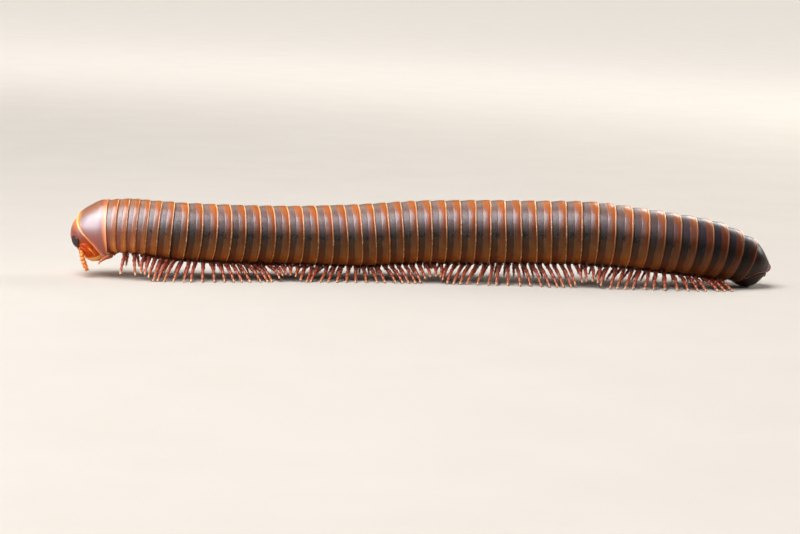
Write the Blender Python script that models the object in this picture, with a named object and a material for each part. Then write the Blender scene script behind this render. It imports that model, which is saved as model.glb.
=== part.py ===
"""A spirobolid millipede walking, as a life-size museum model.

Metres, +Z up, with the floor at z = 0. The animal looks along -X and its tail is at +X.
The origin is at the middle of its bounding box, on the floor.

The trunk is a row of rings along a centreline that swings gently in plan and dips to the
tail. Ring numbers count from the collum, which is ring 1, and a place on the body is given
in rings: 7.5 is the middle of ring 8.
"""

import math

import bmesh
import bpy
from mathutils import Matrix, Vector

MM = 0.001
UP = Vector((0.0, 0.0, 1.0))
GAP = 0.3 * MM

# Centreline: rear edge of a ring, x, y, z and radius in millimetres, lean of the ring in degrees
BODY_STATIONS = (
    (1, -40.40, -4.58, 6.17, 3.50, -2.0),
    (3, -37.87, -4.55, 6.36, 3.54, 2.0),
    (5, -35.37, -4.40, 6.17, 3.59, 5.0),
    (8, -30.75, -3.95, 5.83, 3.69, 4.7),
    (12, -23.74, -2.28, 5.52, 3.76, 3.4),
    (16, -16.51, -0.44, 5.38, 3.85, 0.5),
    (20, -8.98, 0.96, 5.47, 4.07, -4.5),
    (24, -1.78, 1.79, 6.01, 4.13, -3.0),
    (28, 5.76, 2.41, 6.23, 4.21, 0.0),
    (32, 13.72, 2.66, 6.44, 4.17, -3.0),
    (36, 21.49, 2.68, 6.53, 4.17, 0.5),
    (39, 27.78, 3.05, 6.00, 4.02, 3.0),
    (42, 33.74, 3.65, 5.30, 3.91, 5.0),
    (44, 37.51, 4.39, 4.63, 3.76, 10.0),
    (46, 41.16, 5.34, 3.45, 3.14, 22.0),
)
LAST_RING = 46

# Trunk lengths: first and last ring of each
TRUNK_LENGTHS = ((2, 10), (11, 20), (21, 30), (31, 40), (41, 46))
TRUNK_SIDES = 20
GROOVE_DEPTH = 0.15 * MM
RING_SWELL = -0.02 * MM
RIM_HEIGHT = 0.07 * MM
BELLY_FLATTENING = 0.05

# Legs
LEG_SIDES = 5
SINGLE_PAIR_RINGS = (2, 5)
LAST_LEG_RING = 44
COXA_RADIUS = 0.28 * MM
KNEE_RADIUS = 0.26 * MM
SHIN_RADIUS = 0.20 * MM
FOOT_RADIUS = 0.14 * MM
ROOT_REACH = 0.8 * MM
COXA_REACH = 1.9 * MM
KNEE_REACH = 3.1 * MM
SHIN_REACH = 3.85 * MM
FOOT_REACH = 4.3 * MM
ROOT_SINK = 0.5 * MM

# The wave that runs along the legs, in rings
WAVE_LENGTH = 10.3
WAVE_CENTRE = 4.6
WAVE_SWING = 1.35 * MM
WAVE_LIFT = 0.9 * MM
WAVE_LIFT_SHARE = 0.56
FRONT_LIFT = 1.2 * MM
FRONT_REACH = 1.0 * MM
FRONT_RINGS = 3.0

# Head
HEAD_CENTRE = Vector((-42.15, -4.58, 5.30)) * MM
HEAD_FRONT = 2.85 * MM
HEAD_BACK = 1.45 * MM
HEAD_HALF_WIDTH = 2.55 * MM
HEAD_RISE = 2.55 * MM
HEAD_DROP = 3.60 * MM
HEAD_SQUARENESS = 2.5
CHIN_SLANT = 0.16
CHIN_TAPER = 0.10
CHEEK_CENTRE = Vector((-0.35, 1.75, -1.75)) * MM
CHEEK_SIZE = Vector((0.95, 0.66, 1.00)) * MM
MOUTH_SPOT = Vector((-0.75, 0.0, -3.05)) * MM
MOUTH_SIZE = Vector((0.16, 3.00, 1.00)) * MM
MOUTH_SLANT = 35.0

# Eyes and antennae, placed from the middle of the head
EYE_DIRECTION = Vector((-0.72, 0.86, -0.14))
EYE_SIZE = Vector((0.62, 0.60, 0.36)) * MM
EYE_SINK = 0.20 * MM
ANTENNA_DIRECTION = Vector((-0.52, 0.66, -0.50))
ANTENNA_BEND = Vector((-0.35, 1.15, -1.00)) * MM
ANTENNA_TIP = Vector((1.05, 0.95, -2.75)) * MM
ANTENNA_ARTICLES = 7
ANTENNA_JOINT_RADIUS = 0.21 * MM
ANTENNA_RADIUS = 0.29 * MM
ANTENNA_SIDES = 8
SOCKET_DEPTH = 0.35 * MM

# Collum: distance ahead of its rear edge, half width, rise of its top and depth of its belly
COLLUM_PROFILE = (
    (0.15, 3.52, 3.52, 3.50),
    (0.80, 3.46, 3.44, 3.40),
    (1.60, 3.28, 3.10, 3.20),
    (2.40, 3.02, 2.66, 2.90),
    (3.10, 2.64, 2.20, 2.60),
    (3.50, 2.34, 1.92, 2.40),
)
COLLUM_EDGE_TOP = Vector((-43.30, 0.0, 5.50)) * MM
COLLUM_EDGE_LOW = Vector((-40.95, 0.0, 2.75)) * MM

# Telson: distance behind ring 46, half width, rise and drop
TELSON_PITCH = 26.0
TELSON_YAW = 15.0
TELSON_PROFILE = (
    (0.15, 3.02, 2.98, 3.05),
    (0.90, 2.92, 2.68, 3.08),
    (1.70, 2.60, 2.18, 2.85),
    (2.40, 2.15, 1.68, 2.32),
    (2.95, 1.60, 1.28, 1.50),
    (3.35, 1.00, 0.98, 0.60),
    (3.80, 0.36, 0.62, -0.16),
)

# Line between the preanal ring and the valves, from the belly to beyond the blunt tip
VALVE_LINE = ((-0.30, -4.20), (0.20, -2.40), (0.85, -0.90), (1.70, 0.00), (2.80, 0.20), (4.60, 0.10))
VALVE_BACKING = 8.0


def clear_scene():
    """Remove whatever the file opened with."""
    for thing in list(bpy.data.objects):
        bpy.data.objects.remove(thing)


def make_collection(name):
    """A new collection in the scene."""
    collection = bpy.data.collections.new(name)
    bpy.context.scene.collection.children.link(collection)
    return collection


def make_material(name, colour, roughness, metallic=0.0):
    """A plain Principled finish."""
    material = bpy.data.materials.new(name)
    material.use_nodes = True
    shader = material.node_tree.nodes["Principled BSDF"]
    shader.inputs["Base Color"].default_value = (*colour, 1.0)
    shader.inputs["Roughness"].default_value = roughness
    shader.inputs["Metallic"].default_value = metallic
    return material


def body_value(ring, column):
    """A station value at any place on the body: cubic between the stations."""
    rings = [station[0] for station in BODY_STATIONS]
    values = [station[column] for station in BODY_STATIONS]
    last = len(rings) - 1
    slopes = []
    for i in range(last + 1):
        before = max(i - 1, 0)
        after = min(i + 1, last)
        slopes.append((values[after] - values[before]) / (rings[after] - rings[before]))
    i = 0
    while i < last - 1 and ring > rings[i + 1]:
        i += 1
    span = rings[i + 1] - rings[i]
    t = (ring - rings[i]) / span
    if t > 1.0:
        return values[-1] + slopes[-1] * (ring - rings[-1])
    start = (2 * t**3 - 3 * t**2 + 1) * values[i] + (t**3 - 2 * t**2 + t) * span * slopes[i]
    end = (3 * t**2 - 2 * t**3) * values[i + 1] + (t**3 - t**2) * span * slopes[i + 1]
    return start + end


def body_centre(ring):
    """Point of the centreline."""
    return Vector([body_value(ring, column) for column in (1, 2, 3)]) * MM


def body_radius(ring):
    """Radius of the trunk."""
    return body_value(ring, 4) * MM


def body_axes(ring):
    """Tailward, sideways (to the animal's right) and upward directions of a ring's plane."""
    step = body_centre(ring + 0.05) - body_centre(ring - 0.05)
    heading = Vector((step.x, step.y, 0.0)).normalized()
    sideways = UP.cross(heading)
    lean = math.radians(body_value(ring, 5))
    upward = UP * math.cos(lean) + heading * math.sin(lean)
    tailward = heading * math.cos(lean) - UP * math.sin(lean)
    return tailward, sideways, upward


def ring_pitch(ring):
    """Length of a ring along the centreline."""
    return (body_centre(ring) - body_centre(ring - 1)).length


def oval(centre, sideways, upward, half_width, rise, drop, sides):
    """Points round an oval with its own reach up and down."""
    points = []
    for i in range(sides):
        angle = 2.0 * math.pi * i / sides
        height = math.cos(angle)
        reach = rise if height > 0.0 else drop
        points.append(centre + sideways * math.sin(angle) * half_width + upward * height * reach)
    return points


def loft(name, sections, material, collection):
    """A closed body through like sections, with flat ends."""
    shape = bmesh.new()
    loops = [[shape.verts.new(point) for point in section] for section in sections]
    for near, far in zip(loops, loops[1:]):
        for i, corner in enumerate(near):
            j = (i + 1) % len(near)
            shape.faces.new((corner, near[j], far[j], far[i]))
    shape.faces.new(loops[0])
    shape.faces.new(loops[-1])
    return add_object(name, shape, material, collection)


def point_faces_out(shape):
    """Turn every face of a closed shape outwards."""
    shape.normal_update()
    bmesh.ops.recalc_face_normals(shape, faces=shape.faces)


def add_object(name, shape, material, collection):
    """An object for a closed shape, with its material, in its collection."""
    point_faces_out(shape)
    mesh = bpy.data.meshes.new(name)
    shape.to_mesh(mesh)
    shape.free()
    mesh.materials.append(material)
    piece = bpy.data.objects.new(name, mesh)
    collection.objects.link(piece)
    return piece


def keep_largest_surface(mesh):
    """Leave only the closed surface with the most faces."""
    shape = bmesh.new()
    shape.from_mesh(mesh)
    left = set(shape.faces)
    surfaces = []
    while left:
        queue = [left.pop()]
        surface = []
        while queue:
            face = queue.pop()
            surface.append(face)
            for edge in face.edges:
                for other in edge.link_faces:
                    if other in left:
                        left.remove(other)
                        queue.append(other)
        surfaces.append(surface)
    surfaces.sort(key=len)
    scraps = [face for surface in surfaces[:-1] for face in surface]
    bmesh.ops.delete(shape, geom=scraps, context="FACES")
    shape.to_mesh(mesh)
    shape.free()


def combine(piece, operation, others):
    """Fuse other pieces with one, or cut them from it, and remove them."""
    tools = bpy.data.collections.new(piece.name + " tools")
    for other in others:
        for home in list(other.users_collection):
            home.objects.unlink(other)
        tools.objects.link(other)
    change = piece.modifiers.new(operation.title(), "BOOLEAN")
    change.operation = operation
    change.operand_type = "COLLECTION"
    change.collection = tools
    change.solver = "EXACT"
    graph = bpy.context.evaluated_depsgraph_get()
    mesh = bpy.data.meshes.new_from_object(piece.evaluated_get(graph))
    piece.modifiers.clear()
    piece.data = mesh
    for other in others:
        bpy.data.objects.remove(other)
    bpy.data.collections.remove(tools)
    keep_largest_surface(mesh)


def slice_off(piece, point, normal):
    """Cut a convex piece with a plane and keep the side that the normal points away from."""
    shape = bmesh.new()
    shape.from_mesh(piece.data)
    geometry = list(shape.verts) + list(shape.edges) + list(shape.faces)
    bmesh.ops.bisect_plane(
        shape, geom=geometry, plane_co=point, plane_no=normal, clear_outer=True
    )
    rim = [edge for edge in shape.edges if edge.is_boundary]
    bmesh.ops.holes_fill(shape, edges=rim, sides=0)
    point_faces_out(shape)
    shape.to_mesh(piece.data)
    shape.free()


def trunk_section(ring, swell):
    """A slice of the trunk, slightly flat along the belly."""
    _, sideways, upward = body_axes(ring)
    radius = body_radius(ring) + swell
    drop = radius * (1.0 - BELLY_FLATTENING)
    return oval(body_centre(ring), sideways, upward, radius, radius, drop, TRUNK_SIDES)


def trunk_length(name, first, last, material, collection):
    """Stepped rings: each rises from a groove to a raised rear rim."""
    start = first - 1 + 0.5 * GAP / ring_pitch(first)
    end = last - 0.5 * GAP / ring_pitch(last)
    sections = []
    for ring in range(first, last + 1):
        sections.append(trunk_section(max(ring - 0.94, start), -GROOVE_DEPTH))
        sections.append(trunk_section(ring - 0.5, RING_SWELL))
        sections.append(trunk_section(min(ring - 0.04, end), RIM_HEIGHT))
    return loft(name, sections, material, collection)


def fade(value):
    """Smooth step from 0 to 1."""
    t = min(max(value, 0.0), 1.0)
    return t * t * (3.0 - 2.0 * t)


def foot_swing(place):
    """How far a foot stands tailward of its root, with the front pairs reaching ahead."""
    wave = -WAVE_SWING * math.sin(2.0 * math.pi * (place - WAVE_CENTRE) / WAVE_LENGTH)
    front = 1.0 - fade((place - 1.5) / FRONT_RINGS)
    return wave * (1.0 - front) - FRONT_REACH * front


def foot_lift(place):
    """Height of a foot: the wave's crests and the front pairs are off the floor."""
    crest = math.cos(2.0 * math.pi * (place - WAVE_CENTRE) / WAVE_LENGTH)
    wave = WAVE_LIFT * max(0.0, (crest - WAVE_LIFT_SHARE) / (1.0 - WAVE_LIFT_SHARE))
    front = FRONT_LIFT * (1.0 - fade((place - 1.5) / FRONT_RINGS))
    return max(wave, front)


def leg_path(place, side):
    """Root, coxa, knee, shin and foot of one leg; side is -1 left or 1 right."""
    tailward, sideways, _ = body_axes(place)
    ahead = Vector((tailward.x, tailward.y, 0.0)).normalized()
    centre = body_centre(place)
    belly = centre.z - body_radius(place) * (1.0 - BELLY_FLATTENING)
    floor_spot = Vector((centre.x, centre.y, 0.0))
    lift = foot_lift(place)
    swing = foot_swing(place)
    knee_height = max(0.72 * belly, 0.95 * MM)
    shape = (
        (ROOT_REACH, belly + ROOT_SINK, 0.0),
        (COXA_REACH, belly - 0.1 * MM, 0.08),
        (KNEE_REACH, knee_height + 0.35 * lift, 0.40),
        (SHIN_REACH - 0.3 * lift, 0.30 * belly + 0.80 * lift, 0.78),
        (FOOT_REACH - 0.6 * lift, lift, 1.0),
    )
    points = []
    for reach, height, share in shape:
        points.append(floor_spot + sideways * side * reach + UP * height + ahead * swing * share)
    return points, ahead


def leg(name, place, side, material, collection):
    """A tapered leg that stands on a small flat."""
    points, ahead = leg_path(place, side)
    radii = (COXA_RADIUS, COXA_RADIUS, KNEE_RADIUS, SHIN_RADIUS, FOOT_RADIUS)
    sections = []
    for i, point in enumerate(points):
        if i == len(points) - 1:
            along = -UP
        else:
            along = (points[i + 1] - points[max(i - 1, 0)]).normalized()
        width = (ahead - along * ahead.dot(along)).normalized()
        depth = along.cross(width)
        sections.append(oval(point, width, depth, radii[i], radii[i], radii[i], LEG_SIDES))
    return loft(name, sections, material, collection)


def leg_places(first, last):
    """Where the pairs of a trunk length stand: one pair on the first rings, then two."""
    places = []
    for ring in range(first, min(last, LAST_LEG_RING) + 1):
        if SINGLE_PAIR_RINGS[0] <= ring <= SINGLE_PAIR_RINGS[1]:
            places.append(ring - 0.5)
        else:
            places.extend((ring - 0.75, ring - 0.25))
    return places


def trunk(materials, collection):
    """Every trunk length with its legs fused to it."""
    for number, (first, last) in enumerate(TRUNK_LENGTHS, start=1):
        name = f"trunk_{number}"
        body = trunk_length(name, first, last, materials["rings"], collection)
        legs = []
        for place in leg_places(first, last):
            for side in (-1, 1):
                legs.append(leg(f"{name} leg", place, side, materials["rings"], collection))
        combine(body, "UNION", legs)


def ellipsoid(name, centre, axes, size, material, collection, segments=12):
    """A ball stretched along three directions."""
    shape = bmesh.new()
    bmesh.ops.create_uvsphere(shape, u_segments=segments, v_segments=segments // 2 + 2, radius=1.0)
    for vert in shape.verts:
        stretched = [axis * length * share for axis, length, share in zip(axes, size, vert.co)]
        vert.co = centre + stretched[0] + stretched[1] + stretched[2]
    return add_object(name, shape, material, collection)


def head_point(direction, grow=0.0):
    """Point of the head's surface in a direction given as shares of its half sizes."""
    power = HEAD_SQUARENESS
    size = sum(abs(share) ** power for share in direction) ** (1.0 / power)
    x, y, z = direction / size
    length = HEAD_FRONT if x < 0.0 else HEAD_BACK
    height = HEAD_RISE if z > 0.0 else HEAD_DROP
    slant = 1.0 - CHIN_SLANT * (2.0 * x * z) ** 2 if x < 0.0 and z < 0.0 else 1.0
    width = HEAD_HALF_WIDTH * (1.0 - CHIN_TAPER * max(0.0, -z))
    reach = Vector(((length + grow) * x * slant, (width + grow) * y, (height + grow) * z * slant))
    return HEAD_CENTRE + reach


def head_shape(name, grow, material, collection):
    """The rounded capsule of the head."""
    shape = bmesh.new()
    bmesh.ops.create_uvsphere(shape, u_segments=24, v_segments=14, radius=1.0)
    for vert in shape.verts:
        x, y, z = vert.co
        vert.co = head_point(Vector((z, y, -x)), grow)
    return add_object(name, shape, material, collection)


def surface_axes(spot):
    """Outward, sideways and upward directions on the head's surface."""
    outward = (spot - HEAD_CENTRE).normalized()
    sideways = UP.cross(outward).normalized()
    return sideways, outward.cross(sideways), outward


def mirrored(direction, side):
    """The same direction on the left (-1) or the right (1)."""
    return Vector((direction.x, direction.y * side, direction.z))


def cheek(side, grow, material, collection):
    """The swelling over the base of one jaw."""
    centre = HEAD_CENTRE + mirrored(CHEEK_CENTRE, side)
    axes = (Vector((1.0, 0.0, 0.0)), Vector((0.0, 1.0, 0.0)), UP)
    size = CHEEK_SIZE + Vector((grow, grow, grow))
    return ellipsoid("cheek", centre, axes, size, material, collection)


def mouth_slot(material, collection):
    """A thin slanting slab that cuts the line between upper lip and chin."""
    shape = bmesh.new()
    turn = Matrix.Rotation(math.radians(MOUTH_SLANT), 4, "Y")
    place = Matrix.Translation(HEAD_CENTRE + MOUTH_SPOT) @ turn @ Matrix.Diagonal(MOUTH_SIZE).to_4x4()
    bmesh.ops.create_cube(shape, size=1.0, matrix=place)
    return add_object("mouth", shape, material, collection)


def head(materials, collection):
    """Head capsule with cheeks, the line of the mouth, eye pockets and antenna sockets."""
    capsule = head_shape("head", 0.0, materials["head"], collection)
    cheeks = [cheek(side, 0.0, materials["head"], collection) for side in (-1, 1)]
    combine(capsule, "UNION", cheeks)
    pockets = [mouth_slot(materials["head"], collection)]
    for side, name in ((-1, "left"), (1, "right")):
        eye_spot = head_point(mirrored(EYE_DIRECTION, side))
        axes = surface_axes(eye_spot)
        eye_centre = eye_spot - axes[2] * EYE_SINK
        ellipsoid(f"eye_{name}", eye_centre, axes, EYE_SIZE, materials["eye"], collection)
        room = EYE_SIZE + Vector((GAP, GAP, GAP))
        pockets.append(ellipsoid("pocket", eye_centre, axes, room, materials["head"], collection))

        root = head_point(mirrored(ANTENNA_DIRECTION, side))
        outward = surface_axes(root)[2]
        start = root - outward * SOCKET_DEPTH
        antenna(f"antenna_{name}", start, side, materials["antenna"], collection)
        width = ANTENNA_RADIUS + GAP
        bowl = Vector((width, width, SOCKET_DEPTH + GAP))
        axes = surface_axes(root)
        pockets.append(ellipsoid("socket", root, axes, bowl, materials["head"], collection))
    combine(capsule, "DIFFERENCE", pockets)


def antenna(name, start, side, material, collection):
    """A bent feeler of bead-like articles that starts in its socket."""
    bend = mirrored(ANTENNA_BEND, side)
    tip = mirrored(ANTENNA_TIP, side)
    sections = []
    for number in range(ANTENNA_ARTICLES):
        for part, radius in ((0.06, ANTENNA_JOINT_RADIUS), (0.72, ANTENNA_RADIUS)):
            t = (number + part) / (ANTENNA_ARTICLES - 0.28)
            point = start + 2.0 * t * (1.0 - t) * bend + t * t * tip
            along = ((1.0 - 2.0 * t) * bend + t * tip).normalized()
            width = (Vector((1.0, 0.0, 0.0)) - along * along.x).normalized()
            depth = along.cross(width)
            sections.append(oval(point, width, depth, radius, radius, radius, ANTENNA_SIDES))
    return loft(name, sections, material, collection)


def collum(materials, collection):
    """The collar plate: a dome over the back of the head, cut slanting along its sides."""
    tailward, sideways, upward = body_axes(1.0)
    rear = body_centre(1.0)
    sections = []
    for ahead, half_width, rise, drop in COLLUM_PROFILE:
        centre = rear - tailward * ahead * MM
        section = oval(centre, sideways, upward, half_width * MM, rise * MM, drop * MM, TRUNK_SIDES)
        sections.append(section)
    dome = loft("collum", sections, materials["rings"], collection)
    edge = (COLLUM_EDGE_LOW - COLLUM_EDGE_TOP).normalized()
    across = Vector((0.0, 1.0, 0.0))
    outward = across.cross(edge)
    middle = (COLLUM_EDGE_TOP + COLLUM_EDGE_LOW) / 2.0
    middle.y = rear.y
    reach = 6.0 * MM
    corners = []
    for depth in (0.0, reach):
        base = middle + outward * depth
        corners.append(
            [
                base + edge * reach + across * reach,
                base + edge * reach - across * reach,
                base - edge * reach - across * reach,
                base - edge * reach + across * reach,
            ]
        )
    wedge = loft("wedge", corners, materials["rings"], collection)
    core = head_shape("core", GAP, materials["rings"], collection)
    cheeks = [cheek(side, GAP, materials["rings"], collection) for side in (-1, 1)]
    combine(dome, "DIFFERENCE", [wedge, core, *cheeks])


def telson_form(name, materials, collection):
    """The tapering tail end as one form."""
    pitch = math.radians(TELSON_PITCH)
    yaw = math.radians(TELSON_YAW)
    heading = Vector((math.cos(yaw), math.sin(yaw), 0.0))
    tailward = heading * math.cos(pitch) - UP * math.sin(pitch)
    sideways = UP.cross(heading)
    upward = UP * math.cos(pitch) + heading * math.sin(pitch)
    start = body_centre(LAST_RING)
    sections = []
    for behind, half_width, rise, drop in TELSON_PROFILE:
        middle = (rise - drop) / 2.0
        half_height = (rise + drop) / 2.0
        centre = start + (tailward * behind + upward * middle) * MM
        section = oval(
            centre, sideways, upward, half_width * MM, half_height * MM, half_height * MM, TRUNK_SIDES
        )
        sections.append(section)
    form = loft(name, sections, materials["telson"], collection)
    return form, start, tailward, sideways, upward


def valve_side(shift, backing, start, tailward, sideways, upward):
    """A block on one side of the valve line, moved off it by half the gap."""
    outline = []
    for behind, above in VALVE_LINE:
        outline.append((behind + shift, above - shift))
    outline.append((VALVE_LINE[-1][0] + backing, VALVE_LINE[-1][1] - backing))
    outline.append((VALVE_LINE[0][0] + backing, VALVE_LINE[0][1] - backing))
    faces = []
    for side in (-1.0, 1.0):
        edge = start + sideways * side * VALVE_BACKING * MM
        faces.append([edge + (tailward * t + upward * h) * MM for t, h in outline])
    return faces


def telson(materials, collection):
    """Preanal ring with its blunt tip, and the two valves below it, parted by thin cuts."""
    half_gap = 0.5 * GAP / MM / math.sqrt(2.0)
    for name in ("telson", "anal_valve_left", "anal_valve_right"):
        form, *place = telson_form(name, materials, collection)
        start, _, sideways, _ = place
        if name == "telson":
            block = valve_side(-half_gap, VALVE_BACKING, *place)
        else:
            block = valve_side(half_gap, -VALVE_BACKING, *place)
            side = -1.0 if name.endswith("left") else 1.0
            slice_off(form, start + sideways * side * GAP / 2.0, -sideways * side)
        combine(form, "DIFFERENCE", [loft("block", block, materials["telson"], collection)])


def build():
    """The whole animal."""
    clear_scene()
    collection = make_collection("millipede")
    materials = {
        "rings": make_material("rings", (0.30, 0.14, 0.09), 0.35),
        "head": make_material("head", (0.55, 0.20, 0.07), 0.35),
        "antenna": make_material("antenna", (0.80, 0.28, 0.07), 0.40),
        "eye": make_material("eye", (0.02, 0.02, 0.02), 0.20),
        "telson": make_material("telson", (0.10, 0.05, 0.04), 0.30),
    }
    head(materials, collection)
    collum(materials, collection)
    trunk(materials, collection)
    telson(materials, collection)


build()
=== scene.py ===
"""A spirobolid millipede walking, dressed as a life-size museum model.

Metres, +Z up, with the floor at z = 0. The animal looks along -X and its tail is at +X.
Rings are counted from the collum, which is ring 1, and a place on the body is given in
rings: 7.5 is the middle of ring 8. The sizes of the pieces are written in millimetres.
"""

import logging
import math
import random
from collections.abc import Callable, Iterator, Sequence
from contextlib import contextmanager
from dataclasses import dataclass, field
from enum import Enum
from functools import cached_property

import bmesh
import bpy
import numpy as np
from mathutils import Matrix, Vector

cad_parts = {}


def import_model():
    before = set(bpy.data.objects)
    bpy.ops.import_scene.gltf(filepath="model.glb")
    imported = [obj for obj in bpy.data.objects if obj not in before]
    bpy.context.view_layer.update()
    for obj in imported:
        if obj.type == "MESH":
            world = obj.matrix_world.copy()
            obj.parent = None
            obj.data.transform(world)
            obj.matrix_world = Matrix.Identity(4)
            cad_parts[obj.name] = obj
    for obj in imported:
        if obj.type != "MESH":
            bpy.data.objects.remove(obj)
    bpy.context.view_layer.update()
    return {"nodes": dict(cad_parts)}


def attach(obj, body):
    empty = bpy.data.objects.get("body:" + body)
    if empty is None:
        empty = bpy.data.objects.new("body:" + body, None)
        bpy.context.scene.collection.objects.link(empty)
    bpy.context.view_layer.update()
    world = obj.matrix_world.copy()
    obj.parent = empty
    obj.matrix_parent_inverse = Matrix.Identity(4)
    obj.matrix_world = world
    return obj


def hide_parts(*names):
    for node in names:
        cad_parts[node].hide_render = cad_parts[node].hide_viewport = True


LOG = logging.getLogger("millipede")

MM = 0.001
UP = Vector((0.0, 0.0, 1.0))
FORWARD = Vector((-1.0, 0.0, 0.0))

Object = bpy.types.Object
Table = tuple[tuple[float, ...], ...]


class Side(Enum):
    """A side of the animal; the value is its sign along +Y."""

    LEFT = -1
    RIGHT = 1


class RingKind(Enum):
    """A trunk ring with or without the pores of the defence glands."""

    PLAIN = "plain"
    PORED = "pored"


class LightUse(Enum):
    """What a light adds to: everything, only the shading or only the reflections."""

    ALL = "all"
    SHADING = "shading"
    REFLECTIONS = "reflections"


class Trait(Enum):
    """Float attributes that carry the patterns over the meshes."""

    ALONG = "along"
    ROUND = "round"
    RING = "ring"
    TONE = "tone"
    EDGE = "edge"
    PLATE = "plate"


def table_value(table: Table, place: float, column: int) -> float:
    """A smooth value between the rows of a table.

    Args:
        table: Rows that start with their place.
        place: Where the value is wanted.
        column: Column of the value.

    Returns:
        The value of a cubic through the rows, straight on past the last one.
    """
    places = [row[0] for row in table]
    values = [row[column] for row in table]
    last = len(table) - 1
    slopes = []
    for i in range(last + 1):
        before, after = max(i - 1, 0), min(i + 1, last)
        slopes.append((values[after] - values[before]) / (places[after] - places[before]))
    i = 0
    while i < last - 1 and place > places[i + 1]:
        i += 1
    span = places[i + 1] - places[i]
    t = (place - places[i]) / span
    if t > 1.0:
        return values[-1] + slopes[-1] * (place - places[-1])
    start = (2 * t**3 - 3 * t**2 + 1) * values[i] + (t**3 - 2 * t**2 + t) * span * slopes[i]
    end = (3 * t**2 - 2 * t**3) * values[i + 1] + (t**3 - t**2) * span * slopes[i + 1]
    return start + end


def fade(value: float, low: float = 0.0, high: float = 1.0) -> float:
    """Smooth step from 0 at low to 1 at high."""
    t = min(max((value - low) / (high - low), 0.0), 1.0)
    return t * t * (3.0 - 2.0 * t)


def hump(distance: float, width: float) -> float:
    """A bell of height 1 that falls off over the width."""
    return math.exp(-((distance / width) ** 2))


def mirrored(direction: Vector, side: Side) -> Vector:
    """The same direction on the left or the right of the animal."""
    return Vector((direction.x, direction.y * side.value, direction.z))


def linear(code: str) -> tuple[float, float, float, float]:
    """A shader colour for a six-digit colour code.

    Args:
        code: Red, green and blue as the screen shows them, in hexadecimal.

    Returns:
        The same colour in linear light, with full alpha.
    """
    parts = []
    for start in (0, 2, 4):
        share = int(code[start : start + 2], 16) / 255.0
        parts.append(share / 12.92 if share <= 0.04045 else ((share + 0.055) / 1.055) ** 2.4)
    return (parts[0], parts[1], parts[2], 1.0)


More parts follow.
